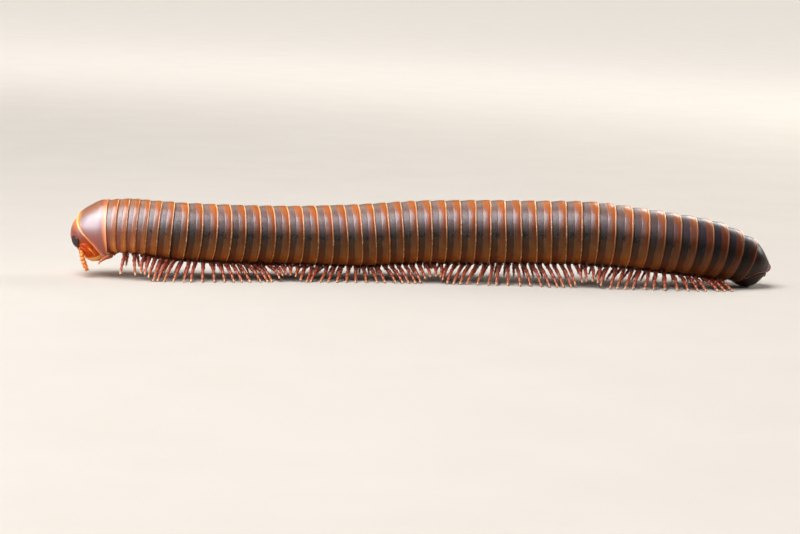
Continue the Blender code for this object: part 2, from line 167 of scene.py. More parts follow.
class Bench:
    """The modelling bench, where pieces are added, shaped, copied and joined."""

    @staticmethod
    def clear() -> None:
        """Go back to object mode with nothing selected."""
        if bpy.context.mode != "OBJECT":
            bpy.ops.object.mode_set(mode="OBJECT")
        bpy.ops.object.select_all(action="DESELECT")

    @staticmethod
    def pick(pieces: Sequence[Object]) -> None:
        """Select only these pieces, with the first one active."""
        Bench.clear()
        for piece in pieces:
            piece.select_set(True)
        bpy.context.view_layer.objects.active = pieces[0]

    @staticmethod
    def add(operator: Callable[..., set[str]], name: str, **options: object) -> Object:
        """Add a primitive at its size and place.

        Args:
            operator: The primitive's own operator.
            name: Name of the new piece.
            **options: Sizes and place for the operator.

        Returns:
            The new piece, with its place in its mesh.
        """
        Bench.clear()
        operator(**options)
        piece = bpy.context.active_object
        piece.name = name
        piece.data.name = name
        bpy.ops.object.transform_apply(location=True, rotation=True, scale=True)
        return piece

    @staticmethod
    @contextmanager
    def edit(piece: Object) -> Iterator[None]:
        """Edit mode on one piece, with nothing selected at first."""
        Bench.pick([piece])
        bpy.ops.object.mode_set(mode="EDIT")
        bpy.ops.mesh.select_mode(type="VERT")
        bpy.ops.mesh.select_all(action="DESELECT")
        yield
        bpy.ops.object.mode_set(mode="OBJECT")

    @staticmethod
    def choose_faces(piece: Object, wanted: Callable[[Vector], bool]) -> None:
        """Select the faces whose middles are wanted, in edit mode."""
        bpy.ops.mesh.select_mode(type="FACE")
        bpy.ops.mesh.select_all(action="DESELECT")
        shape = bmesh.from_edit_mesh(piece.data)
        for face in shape.faces:
            face.select = wanted(face.calc_center_median())
        shape.select_flush_mode()
        bmesh.update_edit_mesh(piece.data)

    @staticmethod
    def turn(name: str, profile: Sequence[tuple[float, float]], sides: int, closed: bool) -> Object:
        """Turn a profile round the X axis, one extrusion at a time.

        Args:
            name: Name of the new piece.
            profile: Places along X with their radii.
            sides: Number of sides.
            closed: True to close the two ends, False to bridge the last loop to the first.

        Returns:
            The turned piece, closed, with its faces out.
        """
        place, radius = profile[0]
        piece = Bench.add(
            bpy.ops.mesh.primitive_circle_add, name, vertices=sides, radius=radius,
            location=(place, 0.0, 0.0), rotation=(0.0, math.pi / 2.0, 0.0),
        )
        with Bench.edit(piece):
            bpy.ops.mesh.select_all(action="SELECT")
            for next_place, next_radius in profile[1:]:
                step = {"value": (next_place - place, 0.0, 0.0)}
                bpy.ops.mesh.extrude_region_move(TRANSFORM_OT_translate=step)
                share = next_radius / radius
                centre = (next_place, 0.0, 0.0)
                bpy.ops.transform.resize(value=(1.0, share, share), center_override=centre)
                place, radius = next_place, next_radius
            bpy.ops.mesh.select_all(action="DESELECT")
            bpy.ops.mesh.select_mode(type="EDGE")
            bpy.ops.mesh.select_non_manifold()
            if closed:
                bpy.ops.mesh.fill_holes(sides=0)
            else:
                bpy.ops.mesh.bridge_edge_loops()
        Bench.point_out(piece)
        return piece

    @staticmethod
    def point_out(piece: Object) -> None:
        """Turn every face of a closed piece outwards."""
        with Bench.edit(piece):
            bpy.ops.mesh.select_all(action="SELECT")
            bpy.ops.mesh.normals_make_consistent(inside=False)

    @staticmethod
    def face_away(piece: Object, inside: Vector) -> None:
        """Flip an open sheet if its faces look towards a point inside."""
        outward = sum(face.normal.dot(face.center - inside) for face in piece.data.polygons)
        if outward < 0.0:
            piece.data.flip_normals()

    @staticmethod
    def add_ball(name: str, segments: int, rings: int) -> Object:
        """A ball of radius one."""
        operator = bpy.ops.mesh.primitive_uv_sphere_add
        return Bench.add(operator, name, segments=segments, ring_count=rings, radius=1.0)

    @staticmethod
    def add_sheet(name: str, rows: int, columns: int) -> Object:
        """A flat grid from -1 to 1 along X and Y, to be wrapped on a form."""
        operator = bpy.ops.mesh.primitive_grid_add
        return Bench.add(operator, name, x_subdivisions=rows, y_subdivisions=columns, size=2.0)

    @staticmethod
    def weld(piece: Object, distance: float = 0.002 * MM) -> None:
        """Merge points that lie together."""
        with Bench.edit(piece):
            bpy.ops.mesh.select_all(action="SELECT")
            bpy.ops.mesh.remove_doubles(threshold=distance)

    @staticmethod
    def thicken(piece: Object, wall: float) -> None:
        """Give an open sheet a wall on its inner side."""
        Bench.pick([piece])
        change = piece.modifiers.new("Wall", "SOLIDIFY")
        change.thickness = wall
        change.offset = -1.0
        change.use_even_offset = False
        bpy.ops.object.modifier_apply(modifier=change.name)

    @staticmethod
    def smooth(piece: Object, angle: float = 40.0) -> None:
        """Shade a piece smooth, with sharp edges past the angle in degrees."""
        Bench.pick([piece])
        bpy.ops.object.shade_smooth_by_angle(angle=math.radians(angle))

    @staticmethod
    def copy(master: Object, name: str, place: Matrix) -> Object:
        """A copy of a master with a mesh of its own, put in place.

        Args:
            master: The piece that was modelled once.
            name: Name of the copy.
            place: Where the copy goes, with its size.

        Returns:
            The copy, with its place in its mesh.
        """
        piece = master.copy()
        piece.name = name
        piece.data = master.data.copy()
        piece.data.transform(place)
        if place.determinant() < 0.0:
            piece.data.flip_normals()
        bpy.context.scene.collection.objects.link(piece)
        return piece

    @staticmethod
    def join(pieces: Sequence[Object], name: str) -> Object:
        """Join pieces into one."""
        Bench.pick(pieces)
        if len(pieces) > 1:
            bpy.ops.object.join()
        piece = bpy.context.active_object
        piece.name = name
        piece.data.name = name
        return piece

    @staticmethod
    def discard(pieces: Sequence[Object]) -> None:
        """Remove masters that have been copied."""
        for piece in pieces:
            bpy.data.objects.remove(piece)

    @staticmethod
    def reshape(piece: Object, place: Callable[[Vector], Vector]) -> None:
        """Move each point of a mesh to its new place."""
        for vert in piece.data.vertices:
            vert.co = place(vert.co.copy())
        piece.data.update()

    @staticmethod
    def mark(piece: Object, trait: Trait, rule: Callable[[Vector], float]) -> None:
        """Write an attribute from each point's place."""
        Bench.write(piece, trait, [rule(vert.co) for vert in piece.data.vertices])

    @staticmethod
    def write(piece: Object, trait: Trait, values: np.ndarray | Sequence[float] | float) -> None:
        """Write an attribute: one value for each point, or one for all."""
        mesh = piece.data
        layer = mesh.attributes.get(trait.value)
        if layer is None:
            layer = mesh.attributes.new(trait.value, "FLOAT", "POINT")
        full = np.broadcast_to(np.asarray(values, dtype=np.float32), (len(mesh.vertices),))
        layer.data.foreach_set("value", np.ascontiguousarray(full))

    @staticmethod
    def read(piece: Object, trait: Trait) -> np.ndarray:
        """Read an attribute, one value for each point."""
        values = np.zeros(len(piece.data.vertices), dtype=np.float32)
        piece.data.attributes[trait.value].data.foreach_get("value", values)
        return values


def axes_matrix(x_axis: Vector, y_axis: Vector, z_axis: Vector, origin: Vector) -> Matrix:
    """A matrix with these columns."""
    matrix = Matrix.Identity(4)
    for column, axis in enumerate((x_axis, y_axis, z_axis, origin)):
        for row in range(3):
            matrix[row][column] = axis[row]
    return matrix


def span_matrix(start: Vector, end: Vector, side: Vector, radius: float) -> Matrix:
    """Lay a piece that is turned round X from one point to another.

    Args:
        start: Where x = 0 goes.
        end: Where x = 1 goes.
        side: A direction that the piece's Y axis keeps close to.
        radius: Length that a radius of 1 becomes.

    Returns:
        The matrix that does it.
    """
    along = end - start
    ahead = along.normalized()
    width = (side - ahead * side.dot(ahead)).normalized()
    return axes_matrix(along, width * radius, ahead.cross(width) * radius, start)


@dataclass(frozen=True)
class Centreline:
    """The curve that the rings are threaded on.

    Each station has the ring whose rear edge it is, x, y, z and radius in millimetres, and
    the lean of the ring in degrees.
    """

    stations: Table = (
        (1, -40.25, -4.58, 6.17, 3.50, -1.5),
        (3, -37.77, -4.55, 6.36, 3.54, 2.5),
        (5, -35.40, -4.40, 6.17, 3.59, 5.2),
        (8, -30.77, -3.95, 5.83, 3.69, 5.2),
        (12, -23.80, -2.28, 5.52, 3.76, 3.4),
        (16, -16.49, -0.44, 5.38, 3.85, 0.6),
        (20, -8.93, 0.96, 5.47, 4.07, -4.0),
        (24, -1.73, 1.79, 6.01, 4.13, -3.0),
        (28, 5.80, 2.41, 6.23, 4.21, -0.2),
        (32, 13.74, 2.66, 6.44, 4.17, -2.9),
        (36, 21.49, 2.68, 6.53, 4.17, 1.0),
        (39, 27.75, 3.05, 6.00, 4.02, 5.0),
        (42, 33.72, 3.65, 5.30, 3.91, 7.2),
        (44, 37.49, 4.39, 4.63, 3.76, 12.0),
        (46, 41.16, 5.34, 3.45, 3.14, 23.0),
    )
    belly_flattening: float = 0.05

    def centre(self, ring: float) -> Vector:
        """Point of the curve."""
        return Vector([table_value(self.stations, ring, column) for column in (1, 2, 3)]) * MM

    def radius(self, ring: float) -> float:
        """Radius of the trunk."""
        return table_value(self.stations, ring, 4) * MM

    def belly(self, ring: float) -> float:
        """Height of the belly over the floor."""
        return self.centre(ring).z - self.radius(ring) * (1.0 - self.belly_flattening)

    def axes(self, ring: float) -> tuple[Vector, Vector, Vector]:
        """Tailward, sideways (to the animal's right) and upward directions of a ring's plane."""
        step = self.centre(ring + 0.05) - self.centre(ring - 0.05)
        heading = Vector((step.x, step.y, 0.0)).normalized()
        lean = math.radians(table_value(self.stations, ring, 5))
        upward = UP * math.cos(lean) + heading * math.sin(lean)
        tailward = heading * math.cos(lean) - UP * math.sin(lean)
        return tailward, UP.cross(heading), upward


@dataclass(frozen=True)
class RingMaster:
    """One trunk ring, modelled once for each kind at the size of a middle ring."""

    sides: int = 112
    pitch: float = 1.9 * MM
    radius: float = 4.0 * MM
    belly_flattening: float = 0.05

    # Outer side from the tucked front to the raised rear rim, then the inner side back again:
    # place in ring lengths and height over the nominal radius in millimetres
    outline: Table = (
        (-0.35, -0.40), (-0.18, -0.27), (-0.05, -0.175), (0.02, -0.138), (0.10, -0.112),
        (0.20, -0.084), (0.33, -0.056), (0.40, -0.041), (0.435, -0.035), (0.455, -0.046),
        (0.478, -0.027), (0.52, -0.012), (0.58, 0.003), (0.66, 0.012), (0.75, 0.013),
        (0.83, 0.006), (0.885, -0.018), (0.905, -0.016), (0.925, 0.010), (0.950, 0.036),
        (0.985, 0.038), (1.006, 0.006), (1.000, -0.085), (0.90, -0.180), (0.60, -0.360),
        (0.20, -0.420), (-0.30, -0.600),
    )

    # The pore: its place along the ring, its angle from the back and its sizes
    pore_place: float = 0.365
    pore_angle: float = 87.0
    pore_width: float = 0.16 * MM
    pore_depth: float = 0.07 * MM

    def build(self, kind: RingKind) -> Object:
        """Model the ring.

        Args:
            kind: With or without pores.

        Returns:
            The ring, with its front plane at x = 0 and its attributes written.
        """
        profile = [(place * self.pitch, self.radius + height * MM) for place, height in self.outline]
        piece = Bench.turn(f"ring_{kind.value}", profile, self.sides, closed=False)
        if kind is RingKind.PORED:
            for side in Side:
                self.sink_pore(piece, side)
        Bench.mark(piece, Trait.ALONG, lambda spot: spot.x / self.pitch)
        Bench.mark(piece, Trait.ROUND, lambda spot: math.atan2(abs(spot.y), spot.z) / math.pi)
        Bench.reshape(piece, self.flatten)
        return piece

    def flatten(self, spot: Vector) -> Vector:
        """Flatten the belly a little."""
        if spot.z < 0.0:
            spot.z *= 1.0 - self.belly_flattening
        return spot

    def sink_pore(self, piece: Object, side: Side) -> None:
        """Inset, round off and push in the face where the gland opens."""
        angle = math.radians(self.pore_angle)
        outward = Vector((0.0, side.value * math.sin(angle), math.cos(angle)))
        tangent = Vector((0.0, side.value * math.cos(angle), -math.sin(angle)))
        spot = outward * self.radius + Vector((self.pore_place * self.pitch, 0.0, 0.0))
        with Bench.edit(piece):
            shape = bmesh.from_edit_mesh(piece.data)
            nearest = min(shape.faces, key=lambda face: (face.calc_center_median() - spot).length)
            centre = nearest.calc_center_median()
            reach = 0.03 * MM
            Bench.choose_faces(piece, lambda middle: (middle - centre).length < reach)
            bpy.ops.mesh.inset(thickness=0.012 * MM)
            shape = bmesh.from_edit_mesh(piece.data)
            corners = [vert.co.copy() for vert in shape.verts if vert.select]
            width = max(corner.x for corner in corners) - min(corner.x for corner in corners)
            rises = [corner.dot(tangent) for corner in corners]
            height = max(rises) - min(rises)
            stretch = (self.pore_width / width, self.pore_width / height, self.pore_width / height)
            bpy.ops.transform.resize(value=stretch, center_override=centre)
            bpy.ops.mesh.bevel(offset=0.047 * MM, segments=1, affect="VERTICES")
            for depth, share in ((0.25, 0.90), (0.75, 0.70)):
                push = outward * -self.pore_depth * depth
                bpy.ops.mesh.extrude_region_move(TRANSFORM_OT_translate={"value": push})
                middle = centre + push
                bpy.ops.transform.resize(value=(share, share, share), center_override=middle)


@dataclass(frozen=True)
class Trunk:
    """The rings of the trunk in five lengths."""

    line: Centreline
    lengths: tuple[tuple[int, int], ...] = ((2, 10), (11, 20), (21, 30), (31, 40), (41, 46))
    pored_rings: tuple[int, int] = (6, 45)
    jitter: float = 0.35
    seed: int = 11

    def build(self, finish: "RingFinish") -> list[Object]:
        """Place every ring.

        Args:
            finish: The rings' finish.

        Returns:
            One piece for each length.
        """
        master = RingMaster()
        masters = {kind: master.build(kind) for kind in RingKind}
        chance = random.Random(self.seed)
        material = finish.material()
        pieces = []
        for number, (first, last) in enumerate(self.lengths, start=1):
            rings = []
            for ring in range(first, last + 1):
                pored = self.pored_rings[0] <= ring <= self.pored_rings[1]
                kind = RingKind.PORED if pored else RingKind.PLAIN
                twist = math.radians(chance.uniform(-1.0, 1.0) * self.jitter)
                place = self.ring_place(ring, master, twist)
                copy = Bench.copy(masters[kind], f"ring {ring}", place)
                Bench.write(copy, Trait.RING, float(ring))
                Bench.write(copy, Trait.TONE, chance.uniform(0.0, 1.0))
                rings.append(copy)
            piece = Bench.join(rings, f"trunk_rings_{number}")
            Bench.smooth(piece, 50.0)
            wear(piece, material, "rings", f"trunk_{number}")
            pieces.append(piece)
        Bench.discard(list(masters.values()))
        return pieces

    def ring_place(self, ring: int, master: RingMaster, twist: float) -> Matrix:
        """Where a ring goes: its rear plane leans as the body does, and its front meets the last."""
        _, sideways, upward = self.line.axes(ring)
        front = self.line.centre(ring - 1)
        step = self.line.centre(ring) - front
        radius = self.line.radius(ring - 0.2) / master.radius
        upward = upward * math.cos(twist) + step.normalized() * math.sin(twist)
        return axes_matrix(step / master.pitch, sideways * radius, upward * radius, front)


@dataclass(frozen=True)
class LegMasters:
    """The parts that every leg is put together from."""

    sides: int = 8
    claw_sides: int = 6

    def podomere(self) -> Object:
        """One article of a leg, one long and of radius one: thin at its root, full at its end."""
        profile = ((0.0, 0.62), (0.07, 0.84), (0.36, 0.92), (0.74, 1.0), (0.93, 0.95), (1.0, 0.68))
        return self.marked(Bench.turn("podomere", profile, self.sides, closed=True))

    def claw(self) -> Object:
        """The curved claw."""
        profile = ((0.0, 1.0), (0.25, 0.92), (0.6, 0.55), (1.0, 0.08))
        piece = Bench.turn("claw", profile, self.claw_sides, closed=True)

        def curl(spot: Vector) -> Vector:
            """Bend the claw up in its middle."""
            spot.z += 0.9 * (spot.x * (1.0 - spot.x))
            return spot

        Bench.reshape(piece, curl)
        return self.marked(piece)

    def bristle(self) -> Object:
        """A stiff hair."""
        return self.marked(Bench.turn("bristle", ((0.0, 1.0), (1.0, 0.12)), 3, closed=True))

    def marked(self, piece: Object) -> Object:
        """Write how far along each point is."""
        Bench.mark(piece, Trait.ALONG, lambda spot: spot.x)
        Bench.mark(piece, Trait.EDGE, lambda spot: spot.x)
        return piece


@dataclass(frozen=True)
class Legs:
    """Walking legs: one pair on rings 2 to 5, two on each ring behind them.

    The shape of a leg is given by its reach from the midline and its height over the floor,
    and a wave that runs along the body swings and lifts the feet.
    """

    line: Centreline
    single_pair_rings: tuple[int, int] = (2, 5)
    single_shift: float = 0.30
    last_ring: int = 44
    root_reach: float = 0.8 * MM
    coxa_reach: float = 1.9 * MM
    knee_reach: float = 3.1 * MM
    shin_reach: float = 3.85 * MM
    foot_reach: float = 4.3 * MM
    root_sink: float = 0.25 * MM

    wave_length: float = 10.3
    wave_centre: float = 4.6
    wave_swing: float = 1.35 * MM
    wave_lift: float = 0.9 * MM
    lift_share: float = 0.56
    front_lift: float = 1.2 * MM
    front_reach: float = 1.5 * MM
    front_rings: float = 3.0
    chin_lift: float = 1.85 * MM
    chin_reach: float = 1.75 * MM
    chin_pale: float = 0.74

    # Where each article ends along the leg, and its radius in millimetres
    articles: Table = (
        (0.13, 0.325), (0.31, 0.300), (0.50, 0.262), (0.65, 0.222), (0.80, 0.182), (0.955, 0.136),
    )
    claw_radius: float = 0.070 * MM
    bristle_radius: float = 0.016 * MM
    bristle_length: float = 0.20 * MM
    jitter: float = 0.22 * MM
    seed: int = 23

    def swing(self, place: float) -> float:
        """How far a foot stands tailward of its root."""
        if place < self.single_pair_rings[0]:
            return -self.chin_reach
        turn = 2.0 * math.pi * (place - self.wave_centre) / self.wave_length
        front = 1.0 - fade((place - 1.5) / self.front_rings)
        return -self.wave_swing * math.sin(turn) * (1.0 - front) - self.front_reach * front

    def lift(self, place: float) -> float:
        """Height of a foot over the floor."""
        if place < self.single_pair_rings[0]:
            return self.chin_lift
        crest = math.cos(2.0 * math.pi * (place - self.wave_centre) / self.wave_length)
        wave = self.wave_lift * max(0.0, (crest - self.lift_share) / (1.0 - self.lift_share))
        front = self.front_lift * (1.0 - fade((place - 1.5) / self.front_rings))
        return max(wave, front)

    def path(self, place: float, side: Side, chance: random.Random) -> tuple[list[Vector], Vector]:
        """Root, coxa, knee, shin and foot of a leg.

        Args:
            place: Where on the body it grows.
            side: Left or right.
            chance: Draws the small differences between legs.

        Returns:
            The five points and the tailward direction along the floor.
        """
        tailward, sideways, _ = self.line.axes(place)
        ahead = Vector((tailward.x, tailward.y, 0.0)).normalized()
        centre = self.line.centre(place)
        belly = self.line.belly(place)
        floor_spot = Vector((centre.x, centre.y, 0.0))
        lift, swing = self.lift(place), self.swing(place)
        knee_height = max(0.72 * belly, 0.95 * MM)
        # Reach, height, share of the swing and looseness of the root, coxa, knee, shin and foot
        shape = (
            (self.root_reach, belly + self.root_sink, 0.0, 0.0),
            (self.coxa_reach, belly - 0.1 * MM, 0.08, 0.3),
            (self.knee_reach, knee_height + 0.35 * lift, 0.40, 1.0),
            (self.shin_reach - 0.3 * lift, 0.30 * belly + 0.80 * lift, 0.78, 1.0),
            (self.foot_reach - 0.6 * lift, lift, 1.0, 1.0),
        )
        drift = chance.uniform(-1.0, 1.0) * self.jitter
        points = []
        for reach, height, share, loose in shape:
            spot = floor_spot + sideways * side.value * reach + UP * height
            points.append(spot + ahead * (swing * share + drift * loose))
        return points, ahead

    def spot(self, points: Sequence[Vector], share: float) -> Vector:
        """A point of the smooth curve through the five points."""
        spans = len(points) - 1
        place = share * spans
        i = min(int(place), spans - 1)
        t = place - i
        before, start = points[max(i - 1, 0)], points[i]
        end, after = points[i + 1], points[min(i + 2, spans)]
        bend = 2.0 * before - 5.0 * start + 4.0 * end - after
        twist = 3.0 * start - before - 3.0 * end + after
        return 0.5 * (2.0 * start + (end - before) * t + bend * t * t + twist * t**3)

    def places(self, first: int, last: int) -> list[float]:
        """Where the pairs of a trunk length stand."""
        places: list[float] = []
        for ring in range(first, min(last, self.last_ring) + 1):
            if self.single_pair_rings[0] <= ring <= self.single_pair_rings[1]:
                places.append(ring - 0.5 + self.single_shift * (ring > self.single_pair_rings[0]))
            else:
                places.extend((ring - 0.75, ring - 0.25))
        return places

    def leg(
        self, masters: dict[str, Object], place: float, side: Side, chance: random.Random,
    ) -> list[Object]:
        """Put one leg together.

        Args:
            masters: The articles, the claw and the bristle.
            place: Where on the body it grows.
            side: Left or right.
            chance: Draws the small differences.

        Returns:
            Its parts, each in place.
        """
        points, ahead = self.path(place, side, chance)
        parts = []
        tone = chance.uniform(0.0, 1.0)
        pale = self.chin_pale if place < self.single_pair_rings[0] else 0.0
        start_share = 0.0
        for number, (end_share, radius) in enumerate(self.articles):
            start, end = self.spot(points, start_share), self.spot(points, end_share)
            overlap = (end - start) * 0.05
            matrix = span_matrix(start - overlap, end, ahead, radius * MM)
            part = Bench.copy(masters["podomere"], "podomere", matrix)
            self.stamp(part, max(start_share, pale), max(end_share, pale), tone)
            parts.append(part)
            if number >= 2:
                span = (start, end, ahead)
                parts.extend(self.bristles(masters["bristle"], span, radius * MM, end_share, tone))
            start_share = end_share
        tip = span_matrix(self.spot(points, start_share), points[-1], ahead, self.claw_radius)
        claw = Bench.copy(masters["claw"], "claw", tip)
        self.stamp(claw, start_share, 1.0, tone)
        parts.append(claw)
        return parts

    def bristles(self, master: Object, span: tuple[Vector, Vector, Vector], radius: float,
                 share: float, tone: float) -> list[Object]:
        """Two hairs near the end of an article.

        Args:
            master: The bristle.
            span: Start and end of the article, and the direction along the body.
            radius: Radius of the article.
            share: How far along the leg the article ends.
            tone: Tone of the leg.

        Returns:
            The two hairs, leaning towards the foot.
        """
        start, end, ahead = span
        along = (end - start).normalized()
        under = along.cross(ahead).normalized()
        if under.z > 0.0:
            under = -under
        hairs = []
        for place, lean in ((0.62, 0.5), (0.86, -0.5)):
            outward = (under + ahead * lean).normalized()
            root = start.lerp(end, place) + outward * radius * 0.7
            tip = root + (outward * 0.8 + along * 0.6).normalized() * self.bristle_length
            hair = Bench.copy(master, "bristle", span_matrix(root, tip, ahead, self.bristle_radius))
            self.stamp(hair, share, share, tone)
            hairs.append(hair)
        return hairs

    def stamp(self, part: Object, start: float, end: float, tone: float) -> None:
        """Write how far along the leg each point of a part is."""
        within = Bench.read(part, Trait.ALONG)
        Bench.write(part, Trait.ALONG, start + (end - start) * within)
        Bench.write(part, Trait.TONE, tone)

    def stand(self, spot: Vector) -> Vector:
        """Flatten what would reach into the floor."""
        return Vector((spot.x, spot.y, max(spot.z, 0.0)))

    def sternite(self) -> Object:
        """The plate that a pair of legs grows from: a block with its edges rounded."""
        piece = Bench.add(bpy.ops.mesh.primitive_cube_add, "sternite", size=1.0)
        with Bench.edit(piece):
            bpy.ops.mesh.select_all(action="SELECT")
            bpy.ops.transform.resize(value=(0.62 * MM, 2.1 * MM, 0.36 * MM))
            bpy.ops.mesh.bevel(offset=0.11 * MM, segments=2, affect="EDGES")
        Bench.mark(piece, Trait.ALONG, lambda spot: 0.0)
        Bench.mark(piece, Trait.EDGE, lambda spot: 0.5)
        return piece

    def build(self, lengths: Sequence[tuple[int, int]], finish: "LegFinish") -> list[Object]:
        """Put every leg of every trunk length in place.

        Args:
            lengths: First and last ring of each trunk length.
            finish: The legs' finish.

        Returns:
            One piece of legs for each trunk length.
        """
        maker = LegMasters()
        masters = {"podomere": maker.podomere(), "claw": maker.claw(), "bristle": maker.bristle()}
        plate = self.sternite()
        chance = random.Random(self.seed)
        material = finish.material()
        pieces = []
        for number, (first, last) in enumerate(lengths, start=1):
            parts = []
            for place in self.places(first, last):
                for side in Side:
                    parts.extend(self.leg(masters, place, side, chance))
                tailward, sideways, upward = self.line.axes(place)
                spot = self.line.centre(place) - upward * self.line.radius(place) * 0.95
                copy = Bench.copy(plate, "sternite", axes_matrix(tailward, sideways, upward, spot))
                Bench.write(copy, Trait.TONE, 0.5)
                parts.append(copy)
            piece = Bench.join(parts, f"legs_{number}")
            Bench.reshape(piece, self.stand)
            Bench.smooth(piece, 60.0)
            wear(piece, material, "rings", f"trunk_{number}")
            pieces.append(piece)
        Bench.discard([*masters.values(), plate])
        return pieces


@dataclass(frozen=True)
class HeadForm:
    """The rounded capsule of the head and the places on it, as shares of its half sizes."""

    centre: Vector = field(default_factory=lambda: Vector((-42.15, -4.58, 5.30)) * MM)
    front: float = 2.85 * MM
    back: float = 1.45 * MM
    half_width: float = 2.55 * MM
    rise: float = 2.55 * MM
    drop: float = 3.32 * MM
    squareness: float = 2.5
    chin_slant: float = 0.16
    chin_taper: float = 0.10
    eye_direction: Vector = field(default_factory=lambda: Vector((-0.82, 0.78, -0.30)))
    eye_size: Vector = field(default_factory=lambda: Vector((0.72, 0.76, 0.30)) * MM)
    eye_tilt: float = 26.0
    eye_sink: float = 0.15 * MM
    antenna_direction: Vector = field(default_factory=lambda: Vector((-0.52, 0.66, -0.50)))
    socket_depth: float = 0.35 * MM

    def point(self, direction: Vector, grow: float = 0.0) -> Vector:
        """Point of the surface in a direction.

        Args:
            direction: Shares of the half sizes along X, Y and Z.
            grow: How far outside the surface.

        Returns:
            The point.
        """
        power = self.squareness
        size = sum(abs(share) ** power for share in direction) ** (1.0 / power)
        x, y, z = direction / size
        length = self.front if x < 0.0 else self.back
        height = self.rise if z > 0.0 else self.drop
        slant = 1.0 - self.chin_slant * (2.0 * x * z) ** 2 if x < 0.0 and z < 0.0 else 1.0
        width = self.half_width * (1.0 - self.chin_taper * max(0.0, -z))
        reach = ((length + grow) * x * slant, (width + grow) * y, (height + grow) * z * slant)
        return self.centre + Vector(reach)

    def axes(self, spot: Vector) -> tuple[Vector, Vector, Vector]:
        """Sideways, upward and outward directions on the surface."""
        outward = (spot - self.centre).normalized()
        sideways = UP.cross(outward).normalized()
        return sideways, outward.cross(sideways), outward

    def eye_spot(self, side: Side) -> Vector:
        """Where the eye sits on the surface."""
        return self.point(mirrored(self.eye_direction, side))

    def antenna_spot(self, side: Side) -> Vector:
        """Middle of the antenna's socket on the surface."""
        return self.point(mirrored(self.antenna_direction, side))


@dataclass(frozen=True)
class HeadPlate:
    """A plate or lobe wrapped on the head: a lens whose rim is sunk in the surface."""

    name: str
    direction: tuple[float, float, float]
    spread: tuple[float, float]
    height: float
    tint: float
    squareness: float = 2.4
    twist: float = 0.0
    notch: float = 0.0
    ridges: float = 0.0

    def build(self, form: HeadForm, side: Side) -> Object:
        """Model the plate on the animal's left or right.

        Args:
            form: The head that it lies on.
            side: Left or right.

        Returns:
            The plate, closed, in its place.
        """
        lens = Bench.add_ball(self.name, 48, 22)
        middle = mirrored(Vector(self.direction), side)
        below = middle.normalized().z < -0.8
        across = (FORWARD if below else UP).cross(middle).normalized()
        upward = middle.normalized().cross(across)
        turn = math.radians(self.twist) * side.value
        first = across * math.cos(turn) + upward * math.sin(turn)
        second = upward * math.cos(turn) - across * math.sin(turn)

        def wrap(spot: Vector) -> Vector:
            """Lay a point of the ball on the head."""
            rim = math.hypot(spot.x, spot.y)
            power = self.squareness
            square = (abs(spot.x) ** power + abs(spot.y) ** power) ** (1.0 / power)
            share = rim / square if square > 1e-6 else 1.0
            a, b = spot.x * share, spot.y * share
            b += self.notch * hump(a, 0.13) * fade(-b, 0.0, 1.0)
            direction = middle + first * a * self.spread[0] + second * b * self.spread[1]
            crown = math.copysign(abs(spot.z) ** 0.7, spot.z) * self.height
            crown += self.ridges * math.cos(9.0 * b + 2.5 * a * a) * max(spot.z, 0.0)
            return form.point(direction, crown * MM)

        Bench.reshape(lens, wrap)
        Bench.write(lens, Trait.PLATE, self.tint)
        Bench.point_out(lens)
        return lens


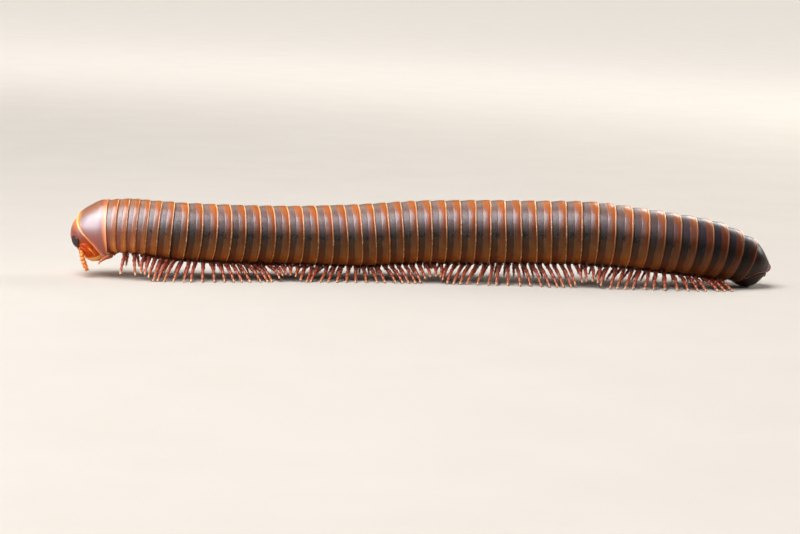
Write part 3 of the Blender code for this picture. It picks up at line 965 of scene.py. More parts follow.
@dataclass(frozen=True)
class Head:
    """Head capsule with its sutures, sockets and mouthparts."""

    form: HeadForm = field(default_factory=HeadForm)
    segments: int = 168
    rings: int = 96
    plates: tuple[HeadPlate, ...] = (
        HeadPlate("jaw_lobe", (-0.18, 0.82, -0.52), (0.34, 0.26), 0.17, 0.35, 2.6, 22.0, 0.0, 0.070),
        HeadPlate("jaw_hinge", (0.36, 0.80, -0.60), (0.26, 0.20), 0.13, 0.30, 2.4, 20.0, 0.0, 0.030),
        HeadPlate("cheek_ridge", (0.02, 0.92, -0.55), (0.40, 0.055), 0.20, 0.60, 2.0, 39.0),
        HeadPlate("chin_lobe", (0.22, 0.36, -0.92), (0.27, 0.62), 0.17, 0.72, 2.6),
    )
    middle_plates: tuple[HeadPlate, ...] = (
        HeadPlate("upper_lip", (-0.60, 0.0, -0.78), (0.46, 0.12), 0.13, 0.60, 3.0, 0.0, 0.55),
        HeadPlate("face_plate", (-0.86, 0.0, -0.42), (0.50, 0.20), 0.07, 0.45, 2.6),
        HeadPlate("chin_plate", (0.58, 0.0, -0.92), (0.24, 0.34), 0.34, 0.80, 2.2),
        HeadPlate("throat", (0.95, 0.0, -0.62), (0.52, 0.34), 0.62, 0.90, 2.6),
    )
    mouth_spot: Vector = field(default_factory=lambda: Vector((-0.75, 0.0, -3.05)) * MM)
    mouth_slant: float = 35.0
    neck_folds: int = 9
    neck_start: Vector = field(default_factory=lambda: Vector((-1.75, 0.0, -0.62)) * MM)
    neck_end: Vector = field(default_factory=lambda: Vector((0.85, 0.0, -0.10)) * MM)
    whisker_radius: float = 0.014 * MM

    def relief(self, spot: Vector) -> float:
        """How far the surface stands out at a point of the plain capsule.

        Args:
            spot: The point.

        Returns:
            The height in metres: seams, sockets and the mouth are sunk, rims are raised.
        """
        form = self.form
        x, y, z = (spot - form.centre) / MM
        height = -0.05 * hump(y, 0.075) * fade(z, -0.4, 0.5)
        height += 0.09 * hump(y, 1.1) * hump(z + 0.35, 0.9) * fade(-x, 0.5, 2.0)
        height -= 0.035 * hump(z + 1.02 + 0.08 * y * y, 0.09) * fade(-x, 0.4, 1.2)
        slant = math.radians(self.mouth_slant)
        offset = (spot - form.centre - self.mouth_spot) / MM
        slit = offset.x * math.cos(slant) - offset.z * math.sin(slant)
        height -= 0.16 * hump(slit, 0.10) * fade(-z, 2.2, 2.8) * fade(1.7 - abs(y), 0.0, 0.4)
        for side in Side:
            socket = (spot - form.antenna_spot(side)).length / MM
            height -= 0.42 * (1.0 - fade(socket, 0.18, 0.50))
            height += 0.07 * hump(socket - 0.62, 0.11)
            eye = (spot - form.eye_spot(side)).length / MM
            height -= 0.06 * hump(eye - 0.66, 0.10)
            seam = (z + 0.9 + 0.35 * (x + 1.0)) * 0.9
            height -= 0.04 * hump(seam, 0.08) * fade(side.value * y, 1.2, 1.8) * fade(x, -1.4, -0.9)
        return height * MM

    def capsule(self) -> Object:
        """The capsule: a ball drawn out to the head's form, then worked over in relief."""
        piece = Bench.add_ball("head_capsule", self.segments, self.rings)

        def place(spot: Vector) -> Vector:
            """Draw a point of the ball out to the head's form."""
            direction = Vector((spot.z, spot.y, -spot.x))
            plain = self.form.point(direction)
            return plain + (plain - self.form.centre).normalized() * self.relief(plain)

        Bench.reshape(piece, place)
        Bench.write(piece, Trait.PLATE, 0.0)
        Bench.point_out(piece)
        return piece

    def neck(self) -> Object:
        """The soft folded neck between the head and ring 2."""
        base = Centreline().centre(1.0)
        profile = []
        for i in range(self.neck_folds):
            share = i / (self.neck_folds - 1)
            radius = 2.35 + 0.45 * math.sin(math.pi * share) + 0.10 * math.cos(i * math.pi)
            profile.append((share, radius * MM))
        piece = Bench.turn("neck", profile, 64, closed=True)
        across = Vector((0.0, 1.0, 0.0))
        piece.data.transform(span_matrix(base + self.neck_start, base + self.neck_end, across, 1.0))
        Bench.write(piece, Trait.PLATE, 1.0)
        Bench.point_out(piece)
        return piece

    def build(self, finish: "HeadFinish") -> Object:
        """Model the head with its mouthparts.

        Args:
            finish: The head's finish.

        Returns:
            The head as one piece.
        """
        parts = [self.capsule(), self.neck()]
        parts.extend(plate.build(self.form, side) for plate in self.plates for side in Side)
        parts.extend(plate.build(self.form, Side.RIGHT) for plate in self.middle_plates)
        parts.extend(self.whiskers())
        piece = Bench.join(parts, "head_shell")
        Bench.smooth(piece, 60.0)
        wear(piece, finish.material(), "head", "head")
        return piece

    def whiskers(self) -> list[Object]:
        """Short hairs along the upper lip and across the face plate."""
        master = Bench.turn("whisker", ((0.0, 1.0), (0.5, 0.7), (1.0, 0.1)), 5, closed=True)
        hairs = []
        for direction_z, reach, count, length in ((-0.86, 0.40, 12, 0.26), (-0.50, 0.34, 6, 0.34)):
            for i in range(count):
                y = reach * (2.0 * i / (count - 1) - 1.0)
                direction = Vector((-0.66 if direction_z < -0.6 else -0.86, y, direction_z))
                root = self.form.point(direction, 0.05 * MM)
                outward = (root - self.form.centre).normalized()
                tip = root + (outward * 0.7 - UP * 0.9).normalized() * length * MM
                matrix = span_matrix(root, tip, Vector((0.0, 1.0, 0.0)), self.whisker_radius)
                hairs.append(Bench.copy(master, "whisker", matrix))
        Bench.discard([master])
        for hair in hairs:
            Bench.write(hair, Trait.PLATE, 0.55)
        return hairs


@dataclass(frozen=True)
class Eye:
    """A patch of small round lenses in rows."""

    form: HeadForm
    spacing: float = 0.25
    reach: float = 0.96
    lens_radius: float = 0.088 * MM
    lens_height: float = 0.062 * MM

    def build(self, side: Side, finish: "EyeFinish") -> Object:
        """Model the eye of one side.

        Args:
            side: Left or right.
            finish: The eye's finish.

        Returns:
            The patch with its lenses.
        """
        spot = self.form.eye_spot(side)
        level, above, outward = self.form.axes(spot)
        turn = -math.radians(self.form.eye_tilt) * side.value
        sideways = level * math.cos(turn) + above * math.sin(turn)
        upward = above * math.cos(turn) - level * math.sin(turn)
        centre = spot - outward * self.form.eye_sink
        size = self.form.eye_size
        pad = Bench.add_ball("pad", 48, 24)
        pad.data.transform(axes_matrix(sideways * size.x, upward * size.y, outward * size.z, centre))
        lens = Bench.add_ball("lens", 10, 6)
        with Bench.edit(lens):
            bpy.ops.mesh.select_all(action="SELECT")
            cut = {"plane_co": (0.0, 0.0, -0.1), "plane_no": (0.0, 0.0, -1.0)}
            bpy.ops.mesh.bisect(clear_outer=True, use_fill=True, **cut)
        parts = [pad]
        for p, q in self.rows():
            height = math.sqrt(1.0 - p * p - q * q)
            root = centre + sideways * size.x * p + upward * size.y * q + outward * size.z * height
            normal = sideways * p / size.x + upward * q / size.y + outward * height / size.z
            normal.normalize()
            first = (upward - normal * upward.dot(normal)).normalized()
            second = normal.cross(first)
            radius = self.lens_radius
            matrix = axes_matrix(first * radius, second * radius, normal * self.lens_height, root)
            parts.append(Bench.copy(lens, "lens", matrix))
        piece = Bench.join(parts, f"eye_patch_{side.name.lower()}")
        Bench.discard([lens])
        Bench.smooth(piece, 70.0)
        wear(piece, finish.material(), "eye", f"eye_{side.name.lower()}")
        return piece

    def rows(self) -> list[tuple[float, float]]:
        """Places of the lenses in the patch's unit disc, row by row."""
        places = []
        step = self.spacing * math.sqrt(3.0) / 2.0
        count = int(1.0 / self.spacing) + 1
        for row in range(-count, count + 1):
            shift = 0.5 * (row % 2)
            for column in range(-count, count + 1):
                p, q = (column + shift) * self.spacing, row * step
                if math.hypot(p, q) < self.reach:
                    places.append((p, q))
        return places


@dataclass(frozen=True)
class Antenna:
    """A bent feeler of bead-like articles with four cones at its tip."""

    form: HeadForm
    bend: Vector = field(default_factory=lambda: Vector((0.15, 1.05, -1.20)) * MM)
    tips: dict[Side, Vector] = field(default_factory=lambda: {
        Side.LEFT: Vector((0.95, 0.95, -2.80)) * MM, Side.RIGHT: Vector((0.95, 1.45, -2.15)) * MM,
    })
    articles: int = 7
    radius: float = 0.31 * MM
    sides: int = 20
    cone_radius: float = 0.04 * MM
    hairs: int = 7
    bristle_length: float = 0.17 * MM
    bristle_radius: float = 0.010 * MM

    def spot(self, t: float, side: Side) -> Vector:
        """A point of the feeler's curve."""
        root = self.form.antenna_spot(side)
        start = root - self.form.axes(root)[2] * self.form.socket_depth
        bend, tip = mirrored(self.bend, side), mirrored(self.tips[side], side)
        return start + bend * 2.0 * t * (1.0 - t) + tip * t * t

    def build(self, side: Side, finish: "AntennaFinish") -> Object:
        """Model the feeler of one side.

        Args:
            side: Left or right.
            finish: The feeler's finish.

        Returns:
            The feeler as one piece.
        """
        outline = (
            (0.0, 0.56), (0.05, 0.70), (0.14, 0.80), (0.34, 0.90), (0.58, 0.98), (0.76, 1.0),
            (0.90, 0.95), (0.97, 0.82), (1.0, 0.60),
        )
        master = Bench.turn("article", outline, self.sides, closed=True)
        Bench.mark(master, Trait.EDGE, lambda place: place.x)
        cone = Bench.turn("cone", ((0.0, 1.0), (0.6, 0.8), (0.9, 0.5), (1.0, 0.15)), 8, closed=True)
        Bench.write(cone, Trait.EDGE, 0.4)
        bristle = Bench.turn("bristle", ((0.0, 1.0), (1.0, 0.1)), 4, closed=True)
        Bench.write(bristle, Trait.EDGE, 0.9)
        side_axis = Vector((1.0, 0.0, 0.0))
        unit = 1.0 / (self.articles - 0.28)
        parts = []
        for number in range(self.articles):
            last = number == self.articles - 1
            start_t, end_t = number * unit, min((number + 0.98) * unit, 1.0)
            start, end = self.spot(start_t, side), self.spot(end_t, side)
            size = self.radius * (0.78 if last else 0.94 + 0.10 * math.sin(math.pi * number / 6.0))
            matrix = span_matrix(start, end, side_axis, size)
            article = Bench.copy(master, "article", matrix)
            Bench.write(article, Trait.ALONG, number / (self.articles - 1))
            parts.append(article)
            if number >= 2:
                parts.extend(self.hair_ring(bristle, matrix, number))
        end, before = self.spot(1.0, side), self.spot(0.94, side)
        along = (end - before).normalized()
        first = (side_axis - along * along.x).normalized()
        second = along.cross(first)
        for turn in range(4):
            angle = math.pi * (0.5 * turn + 0.25)
            root = end + (first * math.cos(angle) + second * math.sin(angle)) * self.radius * 0.26
            base, point = root - along * 0.03 * MM, root + along * 0.07 * MM
            matrix = span_matrix(base, point, side_axis, self.cone_radius)
            tip = Bench.copy(cone, "cone", matrix)
            Bench.write(tip, Trait.ALONG, 1.0)
            parts.append(tip)
        piece = Bench.join(parts, f"feeler_{side.name.lower()}")
        Bench.discard([master, cone, bristle])
        Bench.smooth(piece, 60.0)
        wear(piece, finish.material(), "antenna", f"antenna_{side.name.lower()}")
        return piece

    def hair_ring(self, bristle: Object, matrix: Matrix, number: int) -> list[Object]:
        """A ring of short hairs round the wide end of an article."""
        hairs = []
        for i in range(self.hairs):
            angle = 2.0 * math.pi * (i + 0.5 * (number % 2)) / self.hairs
            root = matrix @ Vector((0.80, 0.96 * math.cos(angle), 0.96 * math.sin(angle)))
            core = matrix @ Vector((0.80, 0.0, 0.0))
            ahead = (matrix @ Vector((1.0, 0.0, 0.0)) - core).normalized()
            outward = (root - core).normalized()
            end = root + (outward * 0.55 + ahead).normalized() * self.bristle_length
            hair = Bench.copy(bristle, "bristle", span_matrix(root, end, UP, self.bristle_radius))
            Bench.write(hair, Trait.ALONG, number / (self.articles - 1))
            hairs.append(hair)
        return hairs


@dataclass(frozen=True)
class Collum:
    """The collar plate: a shield over the back of the head, with a double rim below."""

    line: Centreline
    wall: float = 0.16 * MM
    last_angle: float = 156.0
    flare: float = 0.48
    rows: int = 56
    columns: int = 176

    # Distance ahead of the rear edge, half width, rise of the top and depth of the belly
    profile: Table = (
        (0.15, 3.52, 3.52, 3.50),
        (0.95, 3.46, 3.44, 3.40),
        (1.75, 3.28, 3.10, 3.20),
        (2.55, 3.02, 2.66, 2.90),
        (3.25, 2.64, 2.20, 2.60),
        (3.65, 2.34, 1.92, 2.40),
    )

    # Angle from the back in degrees, and how far ahead the front edge reaches there
    front_edge: Table = (
        (0.0, 3.71), (30.0, 3.77), (55.0, 3.89), (75.0, 3.77), (88.0, 3.57), (100.0, 3.22),
        (110.0, 2.70), (120.0, 2.16), (130.0, 1.62), (140.0, 1.16), (150.0, 0.72), (156.0, 0.46),
    )

    def reach(self, angle: float) -> float:
        """How far ahead the front edge lies, in millimetres."""
        return table_value(self.front_edge, min(angle, self.last_angle), 1)

    def border(self, angle: float, ahead: float) -> float:
        """Distance to the front or lower border in millimetres."""
        front = (self.reach(angle) - ahead) * (0.72 + 0.28 * fade(100.0 - angle, 0.0, 30.0))
        low = math.radians(self.last_angle - angle) * 3.4
        return max(min(front, low), 0.0)

    def relief(self, angle: float, ahead: float) -> float:
        """Height of the rims and furrows in millimetres."""
        edge = self.border(angle, ahead)
        low = fade(angle, 62.0, 92.0)
        rims = 0.055 * hump(edge - 0.10, 0.075) - 0.050 * hump(edge - 0.27, 0.07)
        return rims * (0.45 + 0.55 * low) + 0.014 * hump(ahead - 0.04, 0.05)

    def build(self, finish: "CollumFinish") -> Object:
        """Model the shield.

        Args:
            finish: The collum's finish.

        Returns:
            The shield, with its wall.
        """
        piece = Bench.add_sheet("collum_shield", self.rows, self.columns)
        tailward, sideways, upward = self.line.axes(1.0)
        rear = self.line.centre(1.0)
        marks: dict[Trait, list[float]] = {Trait.ALONG: [], Trait.ROUND: [], Trait.EDGE: []}
        for vert in piece.data.vertices:
            share = 0.5 * (vert.co.x + 1.0)
            share = share + 0.35 * share * (1.0 - share)
            turn = vert.co.y * (1.0 + 0.10 * (1.0 - abs(vert.co.y))) * self.last_angle
            angle = abs(turn)
            ahead = share * self.reach(angle) - 0.02
            grow = self.relief(angle, ahead) + self.flare * fade(angle, 118.0, 156.0)
            half_width, rise, drop = (table_value(self.profile, ahead, column) for column in (1, 2, 3))
            height = math.cos(math.radians(turn))
            tall = (rise if height > 0.0 else drop) + grow
            side = math.sin(math.radians(turn)) * (half_width + grow)
            vert.co = rear - tailward * ahead * MM + sideways * side * MM + upward * height * tall * MM
            marks[Trait.ALONG].append(share)
            marks[Trait.ROUND].append(angle / 180.0)
            marks[Trait.EDGE].append(self.border(angle, ahead))
        for trait, values in marks.items():
            Bench.write(piece, trait, values)
        piece.data.update()
        Bench.face_away(piece, rear)
        Bench.thicken(piece, self.wall)
        Bench.smooth(piece, 50.0)
        wear(piece, finish.material(), "collum", "collum")
        return piece


@dataclass(frozen=True)
class Telson:
    """The tail end: preanal ring with its blunt tip, and the two valves under it."""

    line: Centreline
    last_ring: int = 46
    pitch: float = 26.0
    yaw: float = 15.0
    wall: float = 0.22 * MM
    overlap: float = 0.45
    length: float = 3.90
    tip_round: float = 0.30
    girth_radius: float = 2.6
    slit: float = 1.2
    rows: int = 120
    columns: int = 150
    valve_start: float = 0.06
    valve_end: float = 3.00
    valve_rows: int = 84
    valve_columns: int = 60

    # Distance behind the last ring, half width, rise and drop
    profile: Table = (
        (0.15, 3.02, 2.98, 3.05),
        (0.90, 2.92, 2.72, 3.08),
        (1.70, 2.60, 2.30, 2.86),
        (2.40, 2.15, 1.86, 2.50),
        (2.80, 1.78, 1.60, 1.70),
        (3.05, 1.30, 1.46, 0.95),
        (3.25, 0.94, 1.34, 0.36),
        (3.50, 0.68, 1.20, 0.10),
        (3.90, 0.40, 0.98, -0.20),
    )

    # Line between the preanal ring and the valves
    valve_line: Table = (
        (-0.30, -3.70), (0.20, -2.55), (0.80, -1.50), (1.20, -1.00), (1.60, -0.70), (2.40, -0.24),
        (2.75, -0.18), (2.95, -0.50), (3.12, -1.30), (3.60, -3.00), (4.20, -4.00),
    )

    def frame(self) -> tuple[Vector, Vector, Vector, Vector]:
        """Start, tailward, sideways and upward directions of the telson."""
        pitch, yaw = math.radians(self.pitch), math.radians(self.yaw)
        heading = Vector((math.cos(yaw), math.sin(yaw), 0.0))
        tailward = heading * math.cos(pitch) - UP * math.sin(pitch)
        upward = UP * math.cos(pitch) + heading * math.sin(pitch)
        return self.line.centre(self.last_ring), tailward, UP.cross(heading), upward

    def section(self, behind: float) -> tuple[float, float, float]:
        """Half width, middle and half height of the form, in millimetres."""
        place = min(max(behind, -0.6), self.length)
        half_width, rise, drop = (table_value(self.profile, place, column) for column in (1, 2, 3))
        closing = max(place - self.length + self.tip_round, 0.0) / self.tip_round
        share = math.sqrt(1.0 - closing * closing)
        return half_width * share, 0.5 * (rise - drop), 0.5 * (rise + drop) * share

    def line_angle(self, behind: float) -> float:
        """Angle from the back at which the valve line crosses the form, in degrees."""
        _, middle, half_height = self.section(behind)
        above = table_value(self.valve_line, behind, 1)
        share = (above - middle) / max(half_height, 0.01)
        return math.degrees(math.acos(min(max(share, -1.0), 1.0)))

    def place(self, behind: float, angle: float, grow: float) -> Vector:
        """Point of the form.

        Args:
            behind: Distance behind the last ring in millimetres.
            angle: Signed angle from the back in degrees.
            grow: Height over the form in millimetres.

        Returns:
            The point.
        """
        start, tailward, sideways, upward = self.frame()
        half_width, middle, half_height = self.section(behind)
        turn = math.radians(angle)
        side = math.sin(turn) * (half_width + grow)
        height = middle + math.cos(turn) * (half_height + grow)
        return start + (tailward * behind + sideways * side + upward * height) * MM

    def ring(self, finish: "TelsonFinish") -> Object:
        """The preanal ring with its blunt tip: a sheet wrapped on the form, open over the valves."""
        piece = Bench.add_sheet("preanal_ring", self.rows, self.columns)
        along, edges = [], []
        for vert in piece.data.vertices:
            share = 0.5 * (vert.co.x + 1.0)
            behind = (self.length + self.overlap) * share - self.overlap
            border = self.line_angle(behind)
            closed = behind < 0.02 or border > 179.9
            widest = 180.0 if closed else border - self.slit
            angle = vert.co.y * widest
            gap = self.length if closed else math.radians(widest - abs(angle)) * self.girth_radius
            lip = 0.05 * hump(gap - 0.10, 0.09) - 0.04 * hump(gap - 0.30, 0.09) if behind > 0.3 else 0.0
            tuck = -0.34 * (1.0 - fade(behind, -self.overlap, 0.05))
            beak = -0.05 * hump(behind - 3.20, 0.24) * fade(60.0 - abs(angle), 0.0, 60.0)
            vert.co = self.place(behind, angle, lip + tuck + beak)
            along.append(behind / self.length)
            edges.append(max(gap, 0.0))
        piece.data.update()
        Bench.write(piece, Trait.ALONG, along)
        Bench.write(piece, Trait.EDGE, edges)
        Bench.weld(piece)
        Bench.face_away(piece, self.inside())
        Bench.thicken(piece, self.wall)
        Bench.smooth(piece, 55.0)
        wear(piece, finish.material(), "telson", "telson")
        return piece

    def valve(self, side: Side, finish: "TelsonFinish") -> Object:
        """One valve: a bulging sheet with a raised rim along the midline.

        Args:
            side: Left or right.
            finish: The valve's finish.

        Returns:
            The valve, with its wall.
        """
        name = side.name.lower()
        piece = Bench.add_sheet(f"valve_{name}", self.valve_rows, self.valve_columns)
        sideways = self.frame()[2]
        along, edges = [], []
        for vert in piece.data.vertices:
            behind = self.valve_start + (self.valve_end - self.valve_start) * 0.5 * (vert.co.x + 1.0)
            share = 0.5 * (vert.co.y + 1.0)
            first = self.line_angle(behind)
            angle = first + (180.0 - first) * share
            half_width, _, half_height = self.section(behind)
            rim = math.radians(180.0 - angle) * half_width
            seam = math.radians(angle - first) * half_height
            grow = 0.09 * hump(rim - 0.14, 0.13) - 0.07 * hump(rim - 0.42, 0.14)
            grow -= 0.10 * hump(seam, 0.16)
            spot = self.place(behind, angle * side.value, grow - 0.03)
            gap = 0.05 * MM * hump(rim, 0.05)
            vert.co = spot + sideways * side.value * gap
            along.append(behind / self.length)
            edges.append(rim)
        piece.data.update()
        Bench.write(piece, Trait.ALONG, along)
        Bench.write(piece, Trait.EDGE, edges)
        Bench.face_away(piece, self.inside())
        Bench.thicken(piece, self.wall)
        Bench.smooth(piece, 55.0)
        wear(piece, finish.material(), "valve", f"anal_valve_{name}")
        return piece

    def inside(self) -> Vector:
        """A point well inside the form."""
        start, tailward, _, _ = self.frame()
        return start + tailward * 1.2 * MM


Socket = bpy.types.NodeSocket
Source = Socket | float | tuple[float, ...]


@dataclass
class Graph:
    """A node tree that is built up node by node."""

    tree: bpy.types.NodeTree

    def node(self, kind: str, **settings: object) -> bpy.types.Node:
        """Add a node and set its options."""
        node = self.tree.nodes.new(kind)
        for name, value in settings.items():
            setattr(node, name, value)
        return node

    def feed(self, socket: Socket, source: Source) -> None:
        """Link a socket to its source, or set it to a value."""
        if isinstance(source, Socket):
            self.tree.links.new(source, socket)
        else:
            socket.default_value = source

    def math(self, operation: str, first: Source, second: Source = 0.0, clamp: bool = False) -> Socket:
        """One sum on two values."""
        node = self.node("ShaderNodeMath", operation=operation, use_clamp=clamp)
        self.feed(node.inputs[0], first)
        self.feed(node.inputs[1], second)
        return node.outputs[0]

    def plus(self, first: Source, second: Source) -> Socket:
        """Sum of two values."""
        return self.math("ADD", first, second)

    def less(self, first: Source, second: Source) -> Socket:
        """The first value less the second."""
        return self.math("SUBTRACT", first, second)

    def times(self, first: Source, second: Source) -> Socket:
        """Product of two values."""
        return self.math("MULTIPLY", first, second)

    def line(self, value: Source, slope: float, start: float) -> Socket:
        """The value times the slope, from the start on."""
        return self.plus(self.times(value, slope), start)

    def tint(self, colour: Source, code: str, mask: Source, share: float = 1.0) -> Socket:
        """Colour that goes over to the one of the code where the mask is, for a share of it."""
        factor = mask if share == 1.0 else self.times(mask, share)
        return self.blend(factor, colour, linear(code))

    def blend(self, factor: Source, first: Source, second: Source, mode: str = "MIX") -> Socket:
        """Mix two colours."""
        node = self.node("ShaderNodeMix", data_type="RGBA", blend_type=mode)
        self.feed(node.inputs[0], factor)
        self.feed(node.inputs[6], first)
        self.feed(node.inputs[7], second)
        return node.outputs[2]

    def fade(self, value: Source, low: Source, high: Source) -> Socket:
        """Smooth step from 0 at low to 1 at high."""
        node = self.node("ShaderNodeMapRange", interpolation_type="SMOOTHSTEP")
        self.feed(node.inputs[0], value)
        self.feed(node.inputs[1], low)
        self.feed(node.inputs[2], high)
        return node.outputs[0]

    def band(self, value: Source, centre: float, width: float) -> Socket:
        """A bell of height 1 round a value."""
        offset = self.math("ABSOLUTE", self.less(value, centre))
        return self.fade(offset, width, 0.0)

    def ramp(self, value: Source, stops: Sequence[tuple[float, str]]) -> Socket:
        """Colours along a value."""
        node = self.node("ShaderNodeValToRGB")
        self.feed(node.inputs[0], value)
        elements = node.color_ramp.elements
        for number, (place, code) in enumerate(stops):
            element = elements[number] if number < 2 else elements.new(place)
            element.position = place
            element.color = linear(code)
        return node.outputs[0]

    def noise(self, vector: Source, scale: Source, detail: float = 3.0, rough: float = 0.55) -> Socket:
        """Noise between 0 and 1."""
        node = self.node("ShaderNodeTexNoise")
        self.feed(node.inputs["Vector"], vector)
        self.feed(node.inputs["Scale"], scale)
        node.inputs["Detail"].default_value = detail
        node.inputs["Roughness"].default_value = rough
        return node.outputs[0]

    def cells(self, vector: Source, scale: Source) -> Socket:
        """Distance to the nearest of many scattered spots."""
        node = self.node("ShaderNodeTexVoronoi")
        self.feed(node.inputs["Vector"], vector)
        self.feed(node.inputs["Scale"], scale)
        return node.outputs[0]

    def trait(self, trait: Trait) -> Socket:
        """A float attribute of the mesh."""
        node = self.node("ShaderNodeAttribute", attribute_type="GEOMETRY", attribute_name=trait.value)
        return node.outputs["Fac"]

    def place(self) -> Socket:
        """Object coordinates."""
        return self.node("ShaderNodeTexCoord").outputs["Object"]

    def use(self, effect: bpy.types.NodeTree, **sources: Source) -> bpy.types.Node:
        """Place an effect and feed its named inputs."""
        node = self.node("ShaderNodeGroup", node_tree=effect)
        for name, source in sources.items():
            self.feed(node.inputs[name.replace("_", " ").title()], source)
        return node


VALUE = "NodeSocketFloat"
VECTOR = "NodeSocketVector"
COLOUR = "NodeSocketColor"


